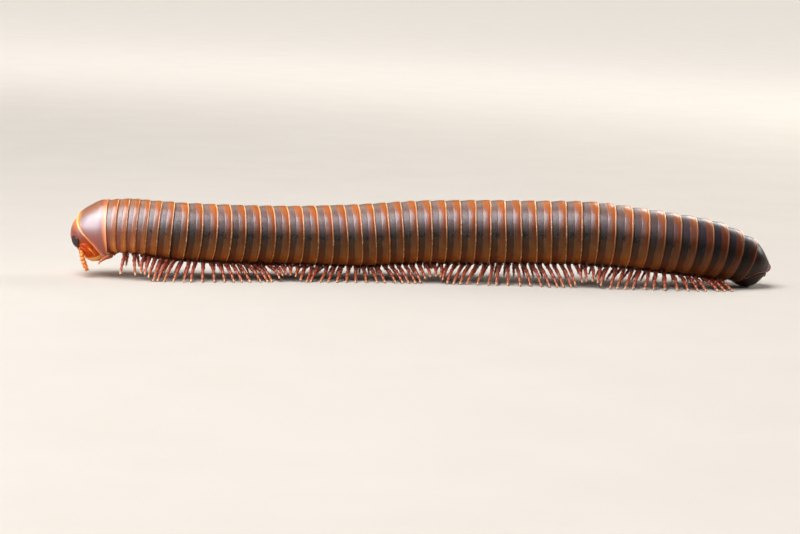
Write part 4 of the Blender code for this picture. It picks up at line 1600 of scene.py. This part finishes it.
class Effects:
    """Node groups that the finishes share, each built once."""

    def start(
        self, name: str, inputs: dict[str, str], outputs: dict[str, str],
    ) -> tuple[Graph, dict[str, Socket], bpy.types.Node]:
        """Make a group with named sockets.

        Args:
            name: Name of the effect.
            inputs: Kind of socket for each input.
            outputs: Kind of socket for each output.

        Returns:
            The graph, its inputs by name and its output node.
        """
        tree = bpy.data.node_groups.new(name, "ShaderNodeTree")
        for label, kind in inputs.items():
            tree.interface.new_socket(label, in_out="INPUT", socket_type=kind)
        for label, kind in outputs.items():
            tree.interface.new_socket(label, in_out="OUTPUT", socket_type=kind)
        graph = Graph(tree)
        entry = graph.node("NodeGroupInput")
        given = {socket.name: socket for socket in entry.outputs if socket.name}
        return graph, given, graph.node("NodeGroupOutput")

    @cached_property
    def grain(self) -> bpy.types.NodeTree:
        """Fine grain of the cuticle: mottle for the colour, gloss changes, height of grain and pits."""
        graph, given, out = self.start(
            "cuticle grain", {"Place": VECTOR, "Scale": VALUE, "Pits": VALUE},
            {"Mottle": VALUE, "Gloss": VALUE, "Speckle": VALUE, "Height": VALUE},
        )
        place, scale = given["Place"], given["Scale"]
        broad = graph.noise(place, graph.times(scale, 0.35), 4.0)
        fine = graph.noise(place, graph.times(scale, 3.0), 3.0)
        pits = graph.fade(graph.cells(place, graph.times(scale, 2.0)), 0.10, 0.34)
        patches = graph.fade(graph.noise(place, graph.times(scale, 0.8), 2.0), 0.34, 0.52)
        speckle = graph.times(graph.less(1.0, pits), patches)
        graph.feed(out.inputs["Speckle"], speckle)
        mottle = graph.plus(graph.times(broad, 0.5), graph.times(fine, 0.5))
        graph.feed(out.inputs["Mottle"], mottle)
        gloss = graph.plus(graph.times(broad, 0.7), graph.times(fine, 0.3))
        graph.feed(out.inputs["Gloss"], gloss)
        sunk = graph.times(graph.less(pits, 1.0), given["Pits"])
        graph.feed(out.inputs["Height"], graph.plus(sunk, graph.times(fine, 0.35)))
        return graph.tree

    @cached_property
    def furrows(self) -> bpy.types.NodeTree:
        """Fine lines: round the front of a ring, and lengthwise low on its flank."""
        graph, given, out = self.start(
            "fine furrows", {"Along": VALUE, "Round": VALUE, "Drift": VALUE}, {"Height": VALUE}
        )
        drift = graph.times(given["Drift"], 5.0)
        hoops = graph.math("SINE", graph.plus(graph.times(given["Along"], 105.0), drift))
        front = graph.times(graph.fade(given["Along"], 0.46, 0.36), 0.5)
        low = graph.fade(given["Round"], 0.45, 0.70)
        hoop_share = graph.times(hoops, graph.plus(front, graph.times(low, 0.25)))
        strakes = graph.math("SINE", graph.plus(graph.times(given["Round"], 330.0), drift))
        behind_seam = graph.fade(given["Along"], 0.44, 0.50)
        before_rim = graph.fade(given["Along"], 0.93, 0.88)
        rear = graph.times(behind_seam, before_rim)
        strake_share = graph.times(strakes, graph.times(rear, low))
        graph.feed(out.inputs["Height"], graph.plus(hoop_share, strake_share))
        return graph.tree

    @cached_property
    def bands(self) -> bpy.types.NodeTree:
        """Colours of a ring: slate front, orange rear band, pale rim, changing down the flank."""
        graph, given, out = self.start(
            "ring bands", {"Along": VALUE, "Round": VALUE, "Ring": VALUE, "Drift": VALUE},
            {"Color": COLOUR, "Band": VALUE, "Rim": VALUE},
        )
        wander = graph.less(given["Drift"], 0.5)
        along = graph.plus(given["Along"], graph.times(wander, 0.16))
        round_ = graph.plus(given["Round"], graph.times(wander, 0.10))
        ring = given["Ring"]
        early = graph.fade(ring, 8.5, 2.0)
        late = graph.fade(ring, 36.5, 44.5)
        front = graph.ramp(round_, (
            (0.0, "846C5A"), (0.11, "9A8074"), (0.20, "7C5C54"), (0.28, "6A544E"), (0.36, "5E5052"),
            (0.44, "3A302C"), (0.53, "3C281A"), (0.61, "462810"), (0.78, "6A3416"), (0.95, "7C3C1C"),
        ))
        # Partly painted sheen: the lilac grey at 0.28 to 0.36, 50 to 65 degrees from the back, is laid
        # where the highlight falls on the ring's middle.
        middle = graph.ramp(round_, (
            (0.0, "B4683A"), (0.11, "BE7A4E"), (0.20, "AC6C50"), (0.28, "906C64"), (0.36, "8A6A64"),
            (0.44, "58392A"), (0.53, "5C3C26"), (0.64, "704622"), (0.78, "84481C"), (0.95, "86421E"),
        ))
        rear = graph.ramp(round_, (
            (0.0, "BC6424"), (0.11, "C86E2A"), (0.20, "C6641C"), (0.28, "B85814"), (0.36, "964812"),
            (0.44, "5E2A0A"), (0.53, "683612"), (0.64, "7C4818"), (0.78, "98521C"), (0.95, "864418"),
        ))
        early_front = graph.ramp(round_, (
            (0.0, "B07850"), (0.20, "A06E50"), (0.28, "8E7C78"), (0.36, "8C7E80"), (0.44, "886C6C"),
            (0.53, "7C4C3C"), (0.66, "8C4E3A"), (0.80, "9A5028"), (0.95, "84401C"),
        ))
        early_rear = graph.ramp(round_, (
            (0.0, "B86014"), (0.20, "BC6420"), (0.28, "C07C60"), (0.42, "BC7C5C"), (0.53, "A8603A"),
            (0.66, "C47840"), (0.80, "DC843C"), (0.95, "A04E20"),
        ))
        late_front = graph.ramp(round_, (
            (0.0, "3C3A40"), (0.20, "342E34"), (0.30, "241E22"), (0.44, "100C10"), (0.55, "1E1210"),
            (0.68, "42200C"), (0.85, "5E2C0C"),
        ))
        late_rear = graph.ramp(round_, (
            (0.0, "8E5226"), (0.20, "8A4416"), (0.30, "7A340C"), (0.44, "5A2808"), (0.55, "5E3010"),
            (0.70, "74401A"), (0.90, "7A4420"),
        ))
        early_middle = graph.blend(0.45, early_front, early_rear)
        late_middle = graph.blend(0.50, late_front, late_rear)
        front, middle, rear = (
            graph.blend(late, graph.blend(early, usual, at_head), at_tail)
            for usual, at_head, at_tail in (
                (front, early_front, late_front),
                (middle, early_middle, late_middle),
                (rear, early_rear, late_rear),
            )
        )
        start = graph.line(graph.fade(round_, 0.02, 0.30), 0.15, 0.55)
        start = graph.less(start, graph.times(graph.fade(round_, 0.46, 0.62), 0.05))
        start = graph.plus(start, graph.times(late, 0.10))
        band = graph.fade(along, graph.less(start, 0.07), graph.plus(start, 0.12))
        colour = graph.blend(graph.fade(along, 0.40, 0.50), front, middle)
        colour = graph.blend(band, colour, rear)
        # Painted shade: the front of each ring, down in the groove under the last ring's rim, goes over
        # to near-black brown, and to light brown on the first rings.
        groove_shade = graph.times(graph.fade(given["Along"], 0.13, -0.02), 0.80)
        groove_shade_colour = graph.blend(early, linear("1E0E08"), linear("A05A34"))
        colour = graph.blend(groove_shade, colour, groove_shade_colour)
        # Painted shade: a dark red-brown line in the groove just before the rim.
        crease_shade = graph.times(graph.band(given["Along"], 0.892, 0.035), 0.55)
        colour = graph.tint(colour, "6A2A0C", crease_shade)
        colour = graph.tint(colour, "140E0C", graph.fade(ring, 44.6, 46.0), 0.75)
        rim_colour = graph.ramp(given["Round"], (
            (0.0, "E8B87C"), (0.11, "FCCC94"), (0.20, "DA9656"), (0.28, "BC743C"), (0.38, "AE6C38"),
            (0.46, "8A5A30"), (0.56, "80502A"), (0.70, "A66A34"), (0.80, "BC7438"), (1.0, "7C4A24"),
        ))
        dark_rim = graph.times(graph.fade(ring, 37.5, 42.5), graph.fade(round_, 0.10, 0.30))
        dark_rim = graph.times(dark_rim, 0.78)
        rim_colour = graph.tint(rim_colour, "4A2410", dark_rim)
        rim = graph.fade(given["Along"], 0.908, 0.930)
        graph.feed(out.inputs["Color"], graph.blend(rim, colour, rim_colour))
        graph.feed(out.inputs["Band"], graph.fade(given["Along"], 0.26, 0.62))
        graph.feed(out.inputs["Rim"], rim)
        return graph.tree

    @cached_property
    def pores(self) -> bpy.types.NodeTree:
        """Marks round the pore of a ring: the dark pit, its pale collar and the smudge beside it."""
        graph, given, out = self.start(
            "pore marks",
            {"Place": VECTOR, "Along": VALUE, "Round": VALUE, "Ring": VALUE, "Drift": VALUE},
            {"Pit": VALUE, "Collar": VALUE, "Smudge": VALUE},
        )
        master = RingMaster()
        length = master.pitch / MM
        girth = math.pi * master.radius / MM
        across = graph.times(graph.less(given["Along"], master.pore_place), length)
        down = graph.times(graph.less(given["Round"], master.pore_angle / 180.0), girth)
        squares = graph.plus(graph.times(across, across), graph.times(down, down))
        distance = graph.math("SQRT", squares)
        pored = graph.fade(given["Ring"], 5.4, 5.6)
        graph.feed(out.inputs["Pit"], graph.times(graph.fade(distance, 0.125, 0.085), pored))
        graph.feed(out.inputs["Collar"], graph.times(graph.band(distance, 0.18, 0.07), pored))
        depth = graph.fade(graph.math("ABSOLUTE", graph.plus(down, 0.05)), 0.60, 0.12)
        begin, finish = graph.fade(given["Along"], -0.05, 0.10), graph.fade(given["Along"], 0.72, 0.45)
        width = graph.times(begin, finish)
        cloud = graph.fade(given["Drift"], 0.40, 0.54)
        blots = graph.fade(graph.noise(given["Place"], 3400.0, 3.0, 0.7), 0.44, 0.54)
        cloud = graph.times(cloud, graph.line(blots, 0.75, 0.25))
        smudge = graph.times(graph.times(depth, width), cloud)
        graph.feed(out.inputs["Smudge"], graph.times(smudge, pored))
        return graph.tree

    @cached_property
    def scuffs(self) -> bpy.types.NodeTree:
        """Wear on raised edges: a broken mask of paler spots."""
        graph, given, out = self.start(
            "edge wear", {"Place": VECTOR, "Edge": VALUE, "Scale": VALUE}, {"Mask": VALUE}
        )
        patches = graph.fade(graph.noise(given["Place"], given["Scale"], 5.0, 0.7), 0.50, 0.66)
        graph.feed(out.inputs["Mask"], graph.times(patches, given["Edge"]))
        return graph.tree


EFFECTS = Effects()


@dataclass(frozen=True)
class Gloss:
    """How a finish shines, with values that are the same all over."""

    coat_roughness: float = 0.16
    coat_index: float = 1.65
    specular: float = 0.7
    bump: float = 0.6
    bump_depth: float = 0.03 * MM

    def shader(self, graph: Graph) -> bpy.types.Node:
        """A Principled shader with this shine on the material's output."""
        shader = graph.node("ShaderNodeBsdfPrincipled")
        shader.inputs["Coat Roughness"].default_value = self.coat_roughness
        shader.inputs["Coat IOR"].default_value = self.coat_index
        shader.inputs["Specular IOR Level"].default_value = self.specular
        out = graph.node("ShaderNodeOutputMaterial")
        graph.feed(out.inputs["Surface"], shader.outputs[0])
        return shader

    def dress(
        self, graph: Graph, colour: Source, roughness: Source, coat: Source, height: Source,
    ) -> None:
        """Lead colour, roughness, coat and relief to the shader.

        Args:
            graph: The material's graph.
            colour: Base colour.
            roughness: Roughness.
            coat: How much of the coat there is.
            height: Height for the bump.
        """
        shader = self.shader(graph)
        graph.feed(shader.inputs["Base Color"], colour)
        graph.feed(shader.inputs["Roughness"], roughness)
        graph.feed(shader.inputs["Coat Weight"], coat)
        bump = graph.node("ShaderNodeBump")
        bump.inputs["Strength"].default_value = self.bump
        bump.inputs["Distance"].default_value = self.bump_depth
        graph.feed(bump.inputs["Height"], height)
        graph.feed(shader.inputs["Normal"], bump.outputs[0])

    def dress_grained(
        self, graph: Graph, colour: Source, grain: bpy.types.Node, dull: tuple[float, float], coat: float,
    ) -> None:
        """Dress a shader with the roughness and relief of the grain.

        Args:
            graph: The material's graph.
            colour: Base colour.
            grain: The grain effect.
            dull: Least roughness, and how much the grain adds to it.
            coat: How much of the coat there is.
        """
        least, more = dull
        rough = graph.line(grain.outputs["Gloss"], more, least)
        self.dress(graph, colour, rough, coat, grain.outputs["Height"])


def new_material(name: str) -> tuple[bpy.types.Material, Graph]:
    """An empty material and its graph."""
    material = bpy.data.materials.new(name)
    material.use_nodes = True
    material.node_tree.nodes.clear()
    return material, Graph(material.node_tree)


def wear(piece: Object, material: bpy.types.Material, slot: str, *nodes: str) -> None:
    """Finish a piece: give it its material and tell the frame what it stands for.

    Args:
        piece: The piece.
        material: Its finish.
        slot: Not used.
        *nodes: The solids that it replaces.
    """
    piece.data.materials.clear()
    piece.data.materials.append(material)
    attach(piece, "root")
    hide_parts(*nodes)
    LOG.info("%s: %d faces, stands for %s", piece.name, len(piece.data.polygons), ", ".join(nodes))


@dataclass(frozen=True)
class RingFinish:
    """Slate and orange bands, glossy on the rear half of a ring and duller in front."""

    gloss: Gloss = field(default_factory=lambda: Gloss(0.29, 1.60, 0.16, 0.6, 0.03 * MM))
    grain_scale: float = 2600.0
    pits: float = 0.5

    def material(self) -> bpy.types.Material:
        """Build the finish."""
        material, graph = new_material("ring cuticle")
        along, round_ = graph.trait(Trait.ALONG), graph.trait(Trait.ROUND)
        ring, tone = graph.trait(Trait.RING), graph.trait(Trait.TONE)
        place = graph.place()
        drift = graph.noise(place, 900.0, 3.0)
        grain = graph.use(EFFECTS.grain, place=place, scale=self.grain_scale, pits=self.pits)
        where = {"along": along, "round": round_, "ring": ring, "drift": drift}
        bands = graph.use(EFFECTS.bands, **where)
        pores = graph.use(EFFECTS.pores, place=place, **where)
        worn = graph.use(EFFECTS.scuffs, place=place, edge=bands.outputs["Rim"], scale=2400.0)
        colour = bands.outputs["Color"]
        rear = bands.outputs["Band"]
        dots = graph.times(grain.outputs["Speckle"], graph.less(0.78, graph.times(rear, 0.45)))
        dots = graph.times(dots, graph.fade(round_, 0.66, 0.40))
        colour = graph.tint(colour, "120E10", dots)
        colour = graph.tint(colour, "080706", pores.outputs["Smudge"], 0.95)
        colour = graph.tint(colour, "6A625C", pores.outputs["Collar"], 0.10)
        colour = graph.tint(colour, "030202", pores.outputs["Pit"])
        bright = graph.times(graph.fade(ring, 40.0, 34.0), 0.35)
        colour = graph.tint(colour, "FFDDAC", graph.times(worn.outputs["Mask"], bright))
        light = graph.line(grain.outputs["Mottle"], 0.7, 0.64)
        light = graph.times(light, graph.line(tone, 0.16, 0.92))
        shade = graph.node("ShaderNodeCombineColor")
        for channel in range(3):
            graph.feed(shade.inputs[channel], light)
        colour = graph.blend(1.0, colour, shade.outputs[0], "MULTIPLY")
        furrows = graph.use(EFFECTS.furrows, along=along, round=round_, drift=drift)
        rough = graph.line(grain.outputs["Gloss"], 0.16, 0.40)
        rough = graph.less(rough, graph.times(rear, 0.16))
        rough = graph.plus(rough, graph.times(dots, 0.30))
        coat = graph.line(rear, 0.25, 0.50)
        coat = graph.math("SUBTRACT", coat, graph.times(dots, 0.60), clamp=True)
        coat = graph.times(coat, graph.fade(round_, 0.52, 0.36))
        crown = graph.times(graph.fade(round_, 0.18, 0.02), 0.55)
        coat = graph.times(coat, graph.less(1.0, crown))
        tail = graph.times(graph.fade(ring, 36.5, 42.0), graph.fade(round_, 0.10, 0.24))
        coat = graph.times(coat, graph.less(1.0, graph.times(tail, 0.75)))
        height = graph.plus(grain.outputs["Height"], graph.times(furrows.outputs["Height"], 0.25))
        self.gloss.dress(graph, colour, rough, coat, height)
        return material


@dataclass(frozen=True)
class LegFinish:
    """Dark red at the root, salmon along the leg and pale at the claw."""

    coat: float = 0.45
    gloss: Gloss = field(default_factory=lambda: Gloss(0.08, 1.5, 0.15, 0.35, 0.01 * MM))

    def material(self) -> bpy.types.Material:
        """Build the finish."""
        material, graph = new_material("leg cuticle")
        along, within, tone = graph.trait(Trait.ALONG), graph.trait(Trait.EDGE), graph.trait(Trait.TONE)
        place = graph.place()
        grain = graph.use(EFFECTS.grain, place=place, scale=5200.0, pits=0.2)
        # The near-black red at the root is partly painted shade, where the legs leave the belly in its
        # shadow.
        colour = graph.ramp(along, (
            (0.0, "2E0804"), (0.20, "4C0E04"), (0.38, "701A06"), (0.54, "8E2A0A"), (0.70, "AA4216"),
            (0.84, "CC743C"), (0.94, "F4C498"), (1.0, "A85830"),
        ))
        root, end = graph.fade(within, 0.10, 0.0), graph.fade(within, 0.93, 1.0)
        joint = graph.math("ADD", root, end, clamp=True)
        colour = graph.tint(colour, "5E1C10", joint, 0.30)
        colour = graph.tint(colour, "B0481C", tone, 0.20)
        colour = graph.tint(colour, "F4B090", grain.outputs["Mottle"], 0.12)
        self.gloss.dress_grained(graph, colour, grain, (0.22, 0.2), self.coat)
        return material


@dataclass(frozen=True)
class CollumFinish:
    """Mauve brown with orange rims front and rear, redder towards its lower corner."""

    coat: float = 1.0
    gloss: Gloss = field(default_factory=lambda: Gloss(0.42, 1.8, 0.15, 0.45, 0.02 * MM))

    def material(self) -> bpy.types.Material:
        """Build the finish."""
        material, graph = new_material("collum cuticle")
        along, round_ = graph.trait(Trait.ALONG), graph.trait(Trait.ROUND)
        edge = graph.trait(Trait.EDGE)
        place = graph.place()
        grain = graph.use(EFFECTS.grain, place=place, scale=2300.0, pits=0.25)
        drift = graph.noise(place, 700.0, 3.0)
        wander = graph.times(graph.less(drift, 0.5), 0.30)
        middle = graph.ramp(graph.plus(round_, graph.times(wander, 0.3)), (
            (0.0, "A05E2C"), (0.20, "9C6444"), (0.32, "907878"), (0.44, "90686E"), (0.54, "8C4844"),
            (0.66, "923010"), (0.88, "822C08"),
        ))
        rear = graph.ramp(round_, (
            (0.0, "E06C14"), (0.20, "E4701C"), (0.38, "E4885C"), (0.60, "F88838"), (0.90, "C4521C"),
        ))
        rear_band = graph.fade(graph.plus(along, graph.times(wander, 0.2)), 0.22, 0.04)
        colour = graph.blend(rear_band, middle, rear)
        low = graph.fade(round_, 0.40, 0.56)
        narrow = graph.times(edge, graph.line(low, 0.9, 1.0))
        front_band = graph.fade(graph.plus(narrow, wander), 0.75, 0.20)
        colour = graph.blend(front_band, colour, graph.blend(low, linear("FF9C0C"), linear("EE7A2C")))
        outer = graph.fade(narrow, 0.24, 0.10)
        colour = graph.blend(outer, colour, graph.blend(low, linear("FFC868"), linear("FFB484")))
        lip = graph.fade(along, 0.035, 0.015)
        colour = graph.tint(colour, "EAA468", lip, 0.8)
        worn = graph.use(EFFECTS.scuffs, place=place, edge=outer, scale=2200.0)
        colour = graph.tint(colour, "FFD8A8", worn.outputs["Mask"], 0.4)
        colour = graph.tint(colour, "7A3A2C", grain.outputs["Mottle"], 0.14)
        self.gloss.dress_grained(graph, colour, grain, (0.24, 0.14), self.coat)
        return material


@dataclass(frozen=True)
class HeadFinish:
    """Mauve brow over orange cheeks, with lighter mouthparts and a dark neck."""

    coat: float = 0.18
    form: HeadForm = field(default_factory=HeadForm)
    brow_spot: Vector = field(default_factory=lambda: Vector((-43.55, -2.30, 5.25)) * MM)
    gloss: Gloss = field(default_factory=lambda: Gloss(0.16, 1.5, 0.15, 0.5, 0.02 * MM))

    def patch(self, graph: Graph, place: Socket, centre: Vector, radius: float) -> Socket:
        """A round mask on both sides of the head.

        Args:
            graph: The material's graph.
            place: Object coordinates.
            centre: Middle of the patch on the right side.
            radius: Where the mask has fallen to 0.

        Returns:
            The mask.
        """
        parts = graph.node("ShaderNodeSeparateXYZ")
        graph.feed(parts.inputs[0], place)
        midline = self.form.centre.y
        squares: Source = 0.0
        for axis in range(3):
            value = parts.outputs[axis]
            offset = graph.less(value, midline if axis == 1 else centre[axis])
            if axis == 1:
                offset = graph.less(graph.math("ABSOLUTE", offset), centre.y - midline)
            squares = graph.plus(squares, graph.times(offset, offset))
        return graph.fade(graph.math("SQRT", squares), radius, radius * 0.35)

    def material(self) -> bpy.types.Material:
        """Build the finish."""
        material, graph = new_material("head cuticle")
        place = graph.place()
        plate = graph.trait(Trait.PLATE)
        grain = graph.use(EFFECTS.grain, place=place, scale=2600.0, pits=0.3)
        drift = graph.noise(place, 800.0, 4.0)
        parts = graph.node("ShaderNodeSeparateXYZ")
        graph.feed(parts.inputs[0], place)
        height = graph.times(parts.outputs[2], 1.0 / (10.0 * MM))
        height = graph.plus(height, graph.times(graph.less(drift, 0.5), 0.08))
        capsule = graph.ramp(height, (
            (0.15, "E06408"), (0.30, "E0600A"), (0.42, "AC440C"), (0.49, "94401C"), (0.57, "90504C"),
            (0.66, "E08854"), (0.76, "EC9C64"),
        ))
        eye = self.patch(graph, place, self.form.eye_spot(Side.RIGHT), 1.05 * MM)
        colour = graph.tint(capsule, "3C2020", eye, 0.55)
        socket = self.patch(graph, place, self.form.antenna_spot(Side.RIGHT), 0.75 * MM)
        colour = graph.tint(colour, "D4701E", socket, 0.75)
        parts_colour = graph.ramp(plate, (
            (0.30, "CC5204"), (0.35, "C44404"), (0.45, "E07018"), (0.60, "F8983C"), (0.72, "FFB868"),
            (0.80, "FFBC68"), (0.90, "FFA850"), (1.0, "5A2414"),
        ))
        colour = graph.blend(graph.fade(plate, 0.10, 0.25), colour, parts_colour)
        colour = graph.tint(colour, "7A2C0E", grain.outputs["Mottle"], 0.16)
        rough = graph.line(grain.outputs["Gloss"], 0.16, 0.26)
        brow = self.patch(graph, place, self.brow_spot, 0.75 * MM)
        coat = graph.times(graph.less(1.0, graph.fade(plate, 0.10, 0.25)), self.coat)
        coat = graph.math("ADD", coat, graph.times(brow, 0.9), clamp=True)
        self.gloss.dress(graph, colour, rough, coat, grain.outputs["Height"])
        return material


@dataclass(frozen=True)
class AntennaFinish:
    """Bright orange articles with darker joints."""

    coat: float = 0.45
    gloss: Gloss = field(default_factory=lambda: Gloss(0.16, 1.5, 0.2, 0.4, 0.01 * MM))

    def material(self) -> bpy.types.Material:
        """Build the finish."""
        material, graph = new_material("feeler cuticle")
        along, within = graph.trait(Trait.ALONG), graph.trait(Trait.EDGE)
        grain = graph.use(EFFECTS.grain, place=graph.place(), scale=4800.0, pits=0.25)
        colour = graph.ramp(along, (
            (0.0, "F48A20"), (0.45, "F4861A"), (0.80, "EC7818"), (1.0, "E0701E"),
        ))
        joint = graph.fade(within, 0.12, 0.0)
        colour = graph.tint(colour, "A8480E", joint, 0.5)
        tip = graph.fade(within, 0.82, 1.0)
        colour = graph.tint(colour, "F4B070", tip, 0.55)
        colour = graph.tint(colour, "9A4210", grain.outputs["Mottle"], 0.12)
        self.gloss.dress_grained(graph, colour, grain, (0.24, 0.2), self.coat)
        return material


@dataclass(frozen=True)
class EyeFinish:
    """Near-black glossy lenses."""

    coat: float = 0.22
    gloss: Gloss = field(default_factory=lambda: Gloss(0.05, 1.5, 0.25, 0.2, 0.006 * MM))

    def material(self) -> bpy.types.Material:
        """Build the finish."""
        material, graph = new_material("eye lenses")
        grain = graph.use(EFFECTS.grain, place=graph.place(), scale=6000.0, pits=0.1)
        colour = graph.blend(grain.outputs["Mottle"], linear("140806"), linear("4A2418"))
        self.gloss.dress_grained(graph, colour, grain, (0.12, 0.12), self.coat)
        return material


@dataclass(frozen=True)
class TelsonFinish:
    """Near-black brown with a red-brown tip and rims."""

    name: str = "telson cuticle"
    coat: float = 0.35
    rim_width: float = 0.26
    gloss: Gloss = field(default_factory=lambda: Gloss(0.25, 1.45, 0.12, 0.6, 0.03 * MM))

    def material(self) -> bpy.types.Material:
        """Build the finish."""
        material, graph = new_material(self.name)
        along, edge = graph.trait(Trait.ALONG), graph.trait(Trait.EDGE)
        place = graph.place()
        grain = graph.use(EFFECTS.grain, place=place, scale=2300.0, pits=0.45)
        drift = graph.noise(place, 700.0, 4.0)
        colour = graph.ramp(graph.plus(along, graph.times(drift, 0.08)), (
            (0.0, "1E0E06"), (0.30, "200F06"), (0.60, "2A1206"), (0.80, "421406"), (0.90, "741C04"),
            (1.0, "8E2C08"),
        ))
        rim = graph.fade(edge, self.rim_width, self.rim_width * 0.3)
        colour = graph.tint(colour, "84401A", rim, 0.80)
        worn = graph.use(EFFECTS.scuffs, place=place, edge=rim, scale=2200.0)
        colour = graph.tint(colour, "B07048", worn.outputs["Mask"], 0.4)
        colour = graph.tint(colour, "3A1C08", grain.outputs["Mottle"], 0.20)
        self.gloss.dress_grained(graph, colour, grain, (0.30, 0.2), self.coat)
        return material


@dataclass(frozen=True)
class Softbox:
    """An area light that looks at the animal."""

    name: str
    spot: tuple[float, float, float]
    target: tuple[float, float, float]
    size: tuple[float, float]
    power: float
    colour: tuple[float, float, float]
    use: LightUse = LightUse.ALL
    spread: float = 180.0

    @classmethod
    def over_floor(
        cls, name: str, x: float, y: float, size: tuple[float, float], power: float,
    ) -> "Softbox":
        """A light half a metre over the floor, turned straight down on it."""
        colour = (0.98, 0.97, 1.0)
        return cls(name, (x, y, 0.5), (x, y, 0.0), size, power, colour, LightUse.SHADING, 60.0)

    def hang(self) -> None:
        """Add the light to the scene."""
        light = bpy.data.lights.new(self.name, "AREA")
        light.shape = "RECTANGLE"
        light.size, light.size_y = self.size
        light.energy = self.power
        light.color = self.colour
        light.spread = math.radians(self.spread)
        lamp = bpy.data.objects.new(self.name, light)
        lamp.visible_diffuse = self.use is not LightUse.REFLECTIONS
        lamp.visible_glossy = self.use is not LightUse.SHADING
        lamp.visible_camera = False
        lamp.location = self.spot
        ahead = Vector(self.target) - Vector(self.spot)
        lamp.rotation_euler = ahead.to_track_quat("-Z", "Y").to_euler()
        bpy.context.scene.collection.objects.link(lamp)


@dataclass(frozen=True)
class Studio:
    """Pale floor, soft light and the camera at the photograph's viewing angle."""

    floor_size: float = 24.0
    lens: float = 100.0
    sensor: float = 36.0
    camera_spot: tuple[float, float, float] = (-3.55 * MM, -281.74 * MM, 41.36 * MM)
    tilt: float = 8.0
    roll: float = 2.0
    world_strength: float = 0.13
    backdrop_strength: float = 0.62
    lights: tuple[Softbox, ...] = (
        Softbox("key", (-0.16, -0.15, 0.44), (0.0, 0.0, 0.005), (0.36, 0.36), 3.3, (0.97, 0.96, 1.0)),
        Softbox("back", (0.32, 0.24, 0.20), (0.03, 0.0, 0.0), (0.30, 0.20), 0.9, (1.0, 0.97, 0.94)),
        Softbox("tail glint", (0.062, 0.104, 0.070), (0.036, 0.004, 0.009), (0.05, 0.04), 0.044,
                (1.0, 0.97, 0.96), LightUse.REFLECTIONS),
        Softbox("front glint", (-0.106, -0.070, 0.051), (-0.041, -0.008, 0.006), (0.10, 0.11), 0.265,
                (0.84, 0.96, 1.0), LightUse.REFLECTIONS),
        Softbox("chin fill", (-0.085, -0.055, 0.012), (-0.042, -0.006, 0.003), (0.03, 0.03), 0.0012,
                (1.0, 0.97, 0.92), LightUse.SHADING, 30.0),
        Softbox.over_floor("far floor", 0.0, 1.92, (6.4, 3.2), 70.0),
        Softbox.over_floor("near floor", 0.0, -2.05, (6.4, 3.2), 70.0),
        Softbox.over_floor("left floor", -2.0, 0.0, (2.8, 0.6), 6.5),
        Softbox.over_floor("right floor", 1.75, 0.0, (2.8, 0.6), 6.5),
    )

    def floor(self) -> None:
        """A large pale sheet."""
        piece = Bench.add(bpy.ops.mesh.primitive_plane_add, "studio_floor", size=self.floor_size)
        material, graph = new_material("pale floor")
        mottle = graph.noise(graph.place(), 60.0, 4.0)
        colour = graph.blend(mottle, linear("D3CCC0"), linear("DAD4C9"))
        Gloss(0.5, 1.5, 0.0, 0.1, 0.05 * MM).dress(graph, colour, 0.8, 0.0, mottle)
        piece.data.materials.append(material)

    def world(self) -> None:
        """Even pale surroundings."""
        world = bpy.data.worlds.new("studio")
        world.use_nodes = True
        graph = Graph(world.node_tree)
        background = world.node_tree.nodes["Background"]
        seen = graph.node("ShaderNodeLightPath").outputs["Is Camera Ray"]
        extra = graph.times(seen, self.backdrop_strength - self.world_strength)
        background.inputs["Color"].default_value = (0.93, 0.96, 1.0, 1.0)
        graph.feed(background.inputs["Strength"], graph.plus(extra, self.world_strength))
        bpy.context.scene.world = world

    def camera(self) -> None:
        """The camera, looking down a little and rolled as the photograph is."""
        data = bpy.data.cameras.new("camera")
        data.lens, data.sensor_width = self.lens, self.sensor
        data.clip_start, data.clip_end = 0.005, 60.0
        camera = bpy.data.objects.new("camera", data)
        tilt, roll = math.radians(self.tilt), math.radians(self.roll)
        ahead = Vector((0.0, math.cos(tilt), -math.sin(tilt)))
        level = Vector((1.0, 0.0, 0.0))
        above = level.cross(ahead)
        right = level * math.cos(roll) + above * math.sin(roll)
        upward = above * math.cos(roll) - level * math.sin(roll)
        camera.matrix_world = axes_matrix(right, upward, -ahead, Vector(self.camera_spot))
        bpy.context.scene.collection.objects.link(camera)
        bpy.context.scene.camera = camera

    def build(self) -> None:
        """Set up the studio."""
        self.floor()
        self.world()
        self.camera()
        for light in self.lights:
            light.hang()
        bpy.context.scene.view_settings.view_transform = "Standard"


def main() -> None:
    """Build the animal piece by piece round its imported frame."""
    logging.basicConfig(level=logging.INFO, format="%(name)s: %(message)s")
    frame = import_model()
    LOG.info("frame: %d solids", len(frame["nodes"]))
    Studio().build()
    line = Centreline()
    trunk = Trunk(line)
    trunk.build(RingFinish())
    Legs(line).build(trunk.lengths, LegFinish())
    head = Head()
    head.build(HeadFinish())
    for side in Side:
        Eye(head.form).build(side, EyeFinish())
        Antenna(head.form).build(side, AntennaFinish())
    Collum(line).build(CollumFinish())
    telson = Telson(line)
    telson.ring(TelsonFinish())
    for side in Side:
        telson.valve(side, TelsonFinish(f"valve cuticle {side.name.lower()}", 0.22))


if __name__ == "__main__":
    main()
